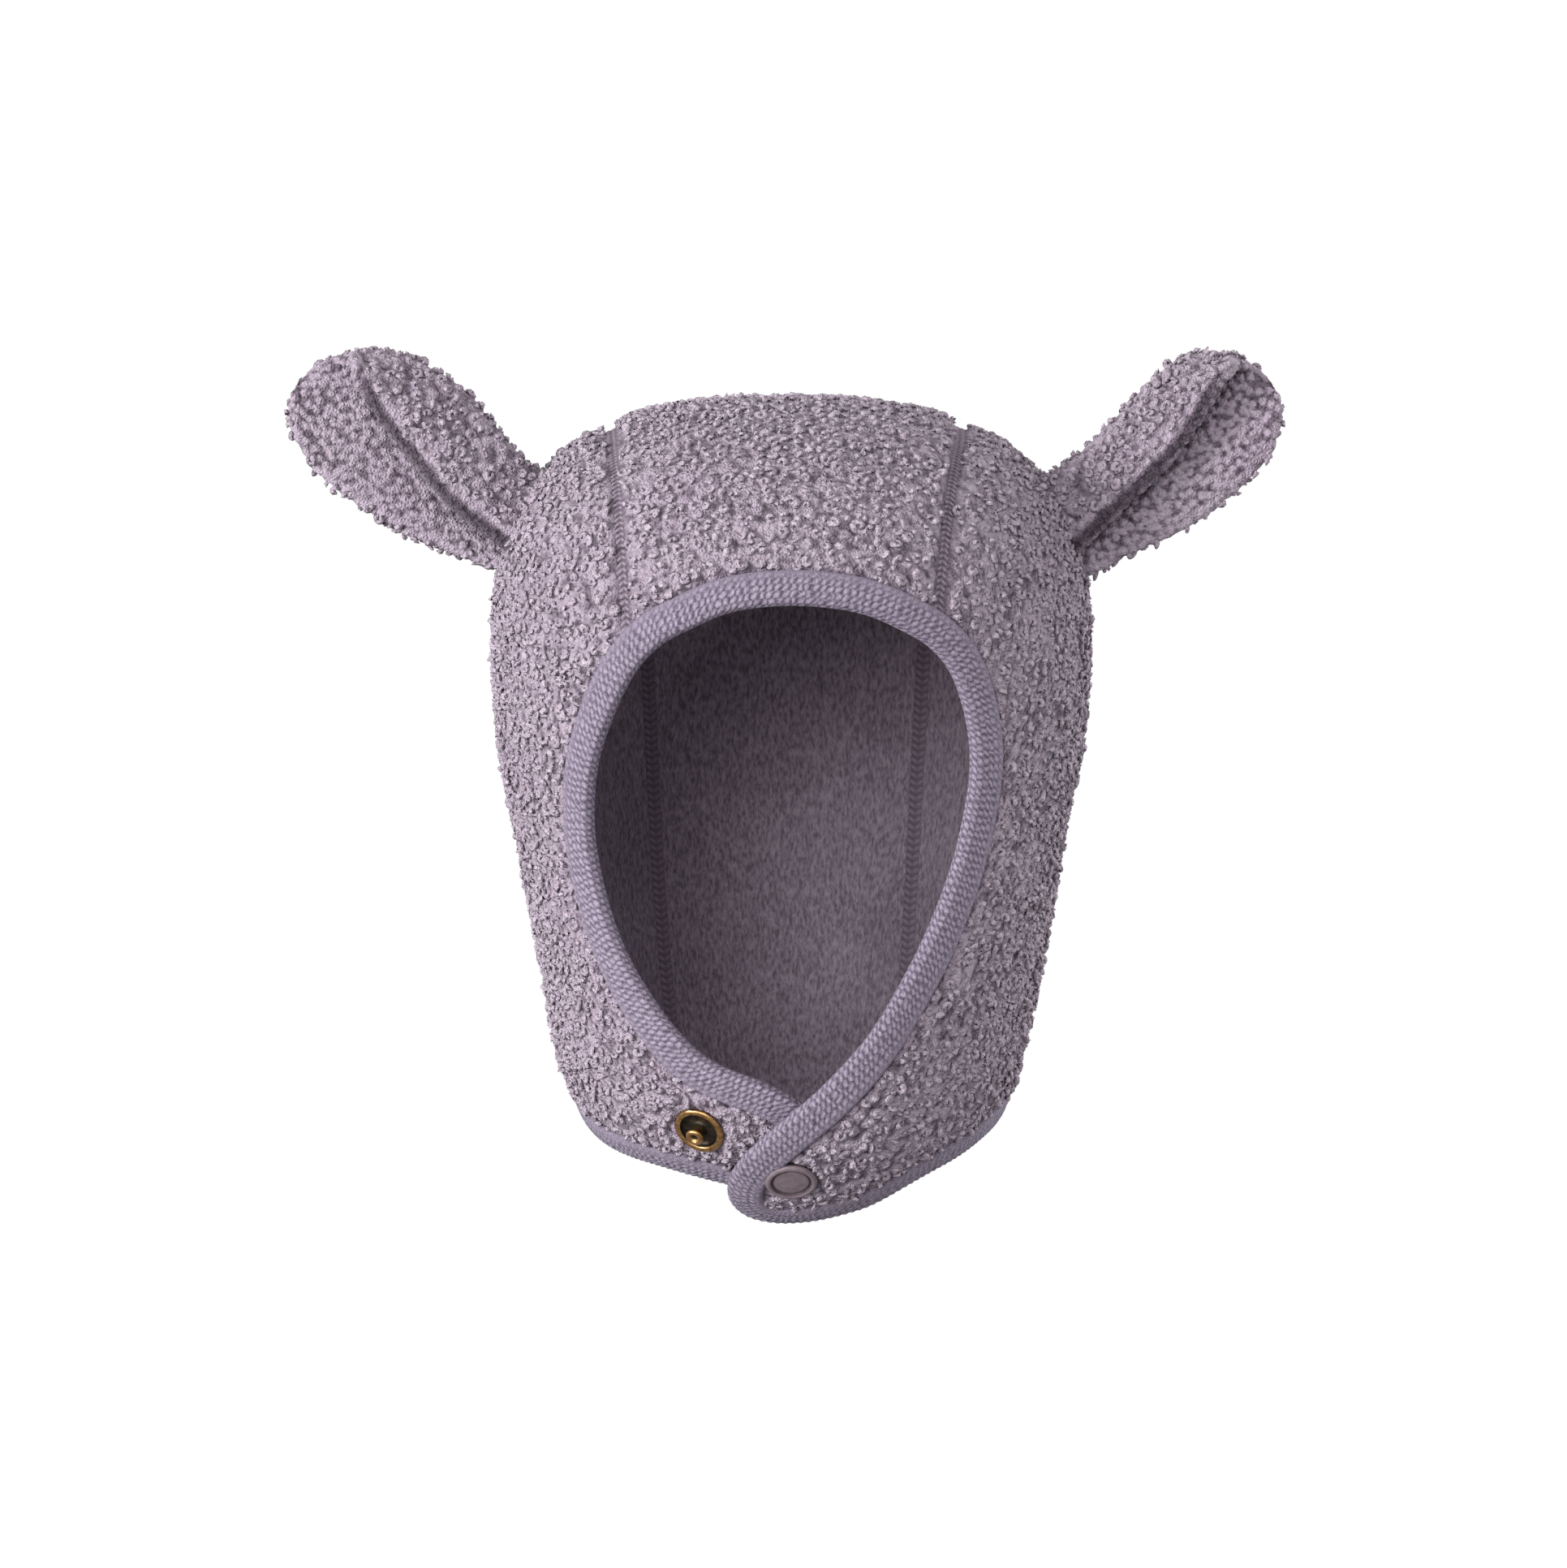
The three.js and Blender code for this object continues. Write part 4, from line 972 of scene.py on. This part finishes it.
def ear(name, side, foot, rows):
    """An ear's skin, knobbed outside and pebbled inside, with painted shade along the crease under its flap,
    and the ringlets on its outside.
    """
    cols, stations = int(190 * FINE), int(95 * FINE)
    skin = ear_surface(side, foot, rows, cols, stations)
    around = np.concatenate([skin, skin[:, :1]], 1)
    a = np.gradient(skin, axis=0)
    b = (np.roll(skin, -1, 1) - np.roll(skin, 1, 1)) / 2
    normal = np.cross(a, b)
    normal /= np.maximum(np.linalg.norm(normal, axis=-1, keepdims=True), 1e-9)
    middle = skin.mean(1, keepdims=True)
    if np.einsum("ijk,ijk->", normal, skin - middle) < 0:
        normal = -normal
    place = np.arange(cols) / cols
    # round the section: the outside up to a half, the inside from there on, and the roll between them
    inner = smooth((place - 0.5) / 0.02) * smooth((0.98 - place) / 0.02)
    rolled = smooth((place - 0.482) / 0.015) * (1 - inner)
    coarse = (1 - inner) * (1 - 0.35 * rolled)
    seeds = scattered(around, KNOB_SPACING)
    big, up = knobbed(skin, normal, seeds, 0.85 * coarse[None])
    pebbles = scattered(around, PEBBLE_SPACING)
    tree = tree_of(pebbles)
    far = nearest(tree, skin)
    small = np.sqrt(np.clip(1 - (far / 1.15) ** 2, 0, 1)) * np.maximum(inner, 0.75 * rolled)[None]
    points = big + normal * (PEBBLE_HEIGHT * small)[..., None]
    tilt = math.radians(EAR_TILT)
    rise = (skin - np.array(foot)) @ np.array([-side * math.sin(tilt), 0, math.cos(tilt)])
    # Painted shade under the flap's free edge: the inside face's pile is darkened along the crease, fading
    # out towards the tip
    under = inner * smooth((rise - rise[:, cols // 2 : cols // 2 + 1] + 6.5) / 4.2)
    out_along = (skin - np.array(foot)) @ np.array([side * math.cos(tilt), 0, math.sin(tilt)])
    under = under * smooth((58 - out_along) / 9)
    pile = (0.12 + 0.38 * up + 0.38 * small) * (1 - under) + 0.06 * rolled
    last, ring, hub = (stations - 1) * cols, np.arange(cols), stations * cols
    points = np.concatenate([points.reshape(-1, 3), points[-1].mean(0)[None], points[0].mean(0)[None]])
    pile = np.append(pile.ravel(), [0.5, 0.5])
    tip = np.stack([last + ring, last + (ring + 1) % cols, np.full(cols, hub)], -1)
    base = np.stack([(ring + 1) % cols, ring, np.full(cols, hub + 1)], -1)
    faces = [grid_faces(stations, cols, wrap=True), np.concatenate([tip, base])[:, ::-1]]
    made = mesh_object(name + "_pile", points, faces, FLEECE, {"pile": pile})
    flat = skin.reshape(-1, 3)
    tree = tree_of(flat)
    index = np.array([tree.find(p)[1] for p in seeds])
    keep = (coarse[index % cols] > 0.6) & (random.random(len(seeds)) < 0.95)
    places, faces, height = curls_at(seeds[keep], normal.reshape(-1, 3)[index[keep]])
    curls = mesh_object(name + "_curls", places, faces, FLEECE, {"pile": 0.84 * height})
    for piece in (made, curls):
        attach(piece, "root")
    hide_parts(name)


for name, (side, foot, rows) in EARS.items():
    ear(name, side, foot, rows)

# ------------------------------------------------------------------ press studs


ROUND = 64


def turned(name, back, front, aim, side, material, slot, node, dark):
    """A turned piece about the way out of the cloth; faces of the rows in dark take the second material."""
    profile = [(r, h - FACE) for r, h in back] + [(r, h + FACE) for r, h in front]
    point = on_form(np.array(aim))
    base, axis = raised(point, np.array(0.0), side), normal_at(point)
    other = np.cross(axis, [1.0, 0, 0])
    other /= np.linalg.norm(other)
    third = np.cross(axis, other)
    a = np.linspace(0, 2 * math.pi, ROUND, endpoint=False)
    r, h = np.array(profile).T
    ring = np.cos(a)[:, None] * other + np.sin(a)[:, None] * third
    points = base + r[:, None, None] * ring[None] + h[:, None, None] * axis
    faces = grid_faces(len(r), ROUND, wrap=True)
    slots = np.isin(np.arange(len(faces)) // ROUND, dark).astype(int)
    made = mesh_object(name, points, faces, material, None, slots)
    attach(made, "root")
    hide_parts(node)


FACE = WALL / 2 - SEAT_DEPTH + 0.3  # from the middle of the cloth to either face, in the seat
# radius, height off the cloth's back face
STUD_BACK = [(0.01, -0.9), (5.2, -0.9), (5.8, -0.7), (6.0, -0.4), (5.9, 0.0), (SHANK_RADIUS, 0.0)]
CAP_BACK = [(0.01, 0.9), (1.4, 0.9), (1.4, -0.6), (5.2, -0.6), (5.5, 0.0), (SHANK_RADIUS, 0.0)]
# radius, height off the cloth's front face: the flange, its rolled rim, the well and the post
STUD_FRONT = [
    (SHANK_RADIUS, -1.0),
    (5.0, -0.9),
    (5.6, -0.2),
    (6.2, 0.1),
    (SNAP_RADIUS, 0.45),
    (6.1, 0.8),
    (5.7, 1.0),
    (5.1, 1.0),
    (4.75, 0.8),
    (4.6, 0.3),
    (4.4, -0.4),
    (2.3, -0.55),
    (1.8, -0.3),
    (1.5, 0.4),
    (1.4, 1.9),
    (1.75, 2.3),
    (2.2, 2.8),
    (2.2, 3.3),
    (1.75, 3.65),
    (1.35, 3.7),
    (1.0, 3.5),
    (0.85, 3.0),
    (0.01, 2.9),
]
# radius, height off the cloth's front face: the rim, a groove and the bare dished face
CAP_FRONT = [
    (SHANK_RADIUS, -1.0),
    (5.2, -0.9),
    (6.0, -0.3),
    (SNAP_RADIUS, 0.4),
    (6.2, 0.9),
    (5.9, 1.2),
    (5.4, 1.3),
    (5.0, 1.15),
    (4.8, 0.8),
    (4.65, 0.45),
    (4.45, 0.45),
    (4.25, 0.75),
    (3.9, 0.9),
    (3.2, 0.85),
    (2.6, 0.95),
    (1.9, 1.1),
    (1.2, 1.05),
    (0.01, 1.0),
]
# Rows whose faces take the painted shade: the stud's well and the hole on its post, the cap's groove and the
# underside of its rim
STUD_DARK = [14, 15, 16, 17, 18, 27]
CAP_DARK = [8, 13, 14, 15, 16]
STUD_SKIN, CAP_SKIN = [BRASS, STUD_WELL_SHADE], [RESIN, SHADE]
turned("stud_open", STUD_BACK, STUD_FRONT, STUD_AIM, -1, STUD_SKIN, "brass", "snap_stud_open", STUD_DARK)
turned("cap", CAP_BACK, CAP_FRONT, CAP_AIM, 1, CAP_SKIN, "resin", "snap_cap", CAP_DARK)
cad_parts["snap_stud_closed"].data.materials.clear()
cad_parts["snap_stud_closed"].data.materials.append(BRASS)

# ------------------------------------------------------------------ light, floor and camera


def stage():
    """A white floor and surround that the camera sees and the object isn't lit by, as on a light table."""
    white = bpy.data.materials.new("floor")
    white.use_nodes = True
    nodes = white.node_tree.nodes
    nodes.clear()
    glow = nodes.new("ShaderNodeEmission")
    out = nodes.new("ShaderNodeOutputMaterial")
    white.node_tree.links.new(glow.outputs[0], out.inputs["Surface"])
    size, low = 6000, -330
    points = [(-size, -size, low), (size, -size, low), (size, size, low), (-size, size, low)]
    ground = mesh_object("floor", points, [(0, 1, 2, 3)], white)
    up, turn = np.linspace(-math.pi / 2, math.pi / 2, 13), np.linspace(0, 2 * math.pi, 33)
    a, b = np.meshgrid(up, turn, indexing="ij")
    shell = np.stack([np.cos(a) * np.cos(b), np.cos(a) * np.sin(b), np.sin(a)], -1) * 5500
    surround = mesh_object("surround", shell, grid_faces(13, 33), white)
    for piece in (ground, surround):
        piece.visible_diffuse = piece.visible_glossy = piece.visible_shadow = False


def area_light(name, place, aim, size, power, colour=(1, 1, 1)):
    data = bpy.data.lights.new(name, "AREA")
    data.shape, data.size, data.energy, data.color = "DISK", size, power, colour
    made = bpy.data.objects.new(name, data)
    made.location = place
    made.rotation_euler = (Vector(aim) - Vector(place)).to_track_quat("-Z", "Y").to_euler()
    bpy.context.scene.collection.objects.link(made)


def studio():
    """White all round above the horizon and dimmer below it, a soft key from the left and three fills."""
    world = bpy.data.worlds.new("studio")
    bpy.context.scene.world = world
    world.use_nodes = True
    nodes, links = world.node_tree.nodes, world.node_tree.links
    place, parts = nodes.new("ShaderNodeTexCoord"), nodes.new("ShaderNodeSeparateXYZ")
    ramp = nodes.new("ShaderNodeMapRange")
    for name, value in (("From Min", -0.6), ("From Max", 0.3), ("To Min", 0.46), ("To Max", 0.8)):
        ramp.inputs[name].default_value = value
    links.new(place.outputs["Generated"], parts.inputs[0])
    links.new(parts.outputs["Z"], ramp.inputs["Value"])
    links.new(ramp.outputs[0], nodes["Background"].inputs["Strength"])
    nodes["Background"].inputs["Color"].default_value = (1, 1, 1, 1)
    area_light("key", (-1.3, -0.95, 0.12), (0, 0, -0.09), 0.6, 34)
    area_light("front", (-0.45, -1.6, 0.2), (0, 0, -0.12), 0.7, 13)
    area_light("side", (1.5, -0.15, 0.3), (0, 0, -0.1), 0.8, 8)
    area_light("far", (1.2, 1.0, 0.4), (0, 0, -0.1), 1.0, 16)


stage()
studio()
bpy.context.scene.view_settings.view_transform = "Standard"

camera = bpy.data.objects.new("camera", bpy.data.cameras.new("camera"))
camera.data.lens = 139.8
camera.data.sensor_width = 36
distance, rise = 1.5, math.radians(3)
camera.location = (0, -distance * math.cos(rise), -0.0912 + distance * math.sin(rise))
camera.rotation_euler = (math.radians(90) - rise, 0, 0)
bpy.context.scene.collection.objects.link(camera)
bpy.context.scene.camera = camera
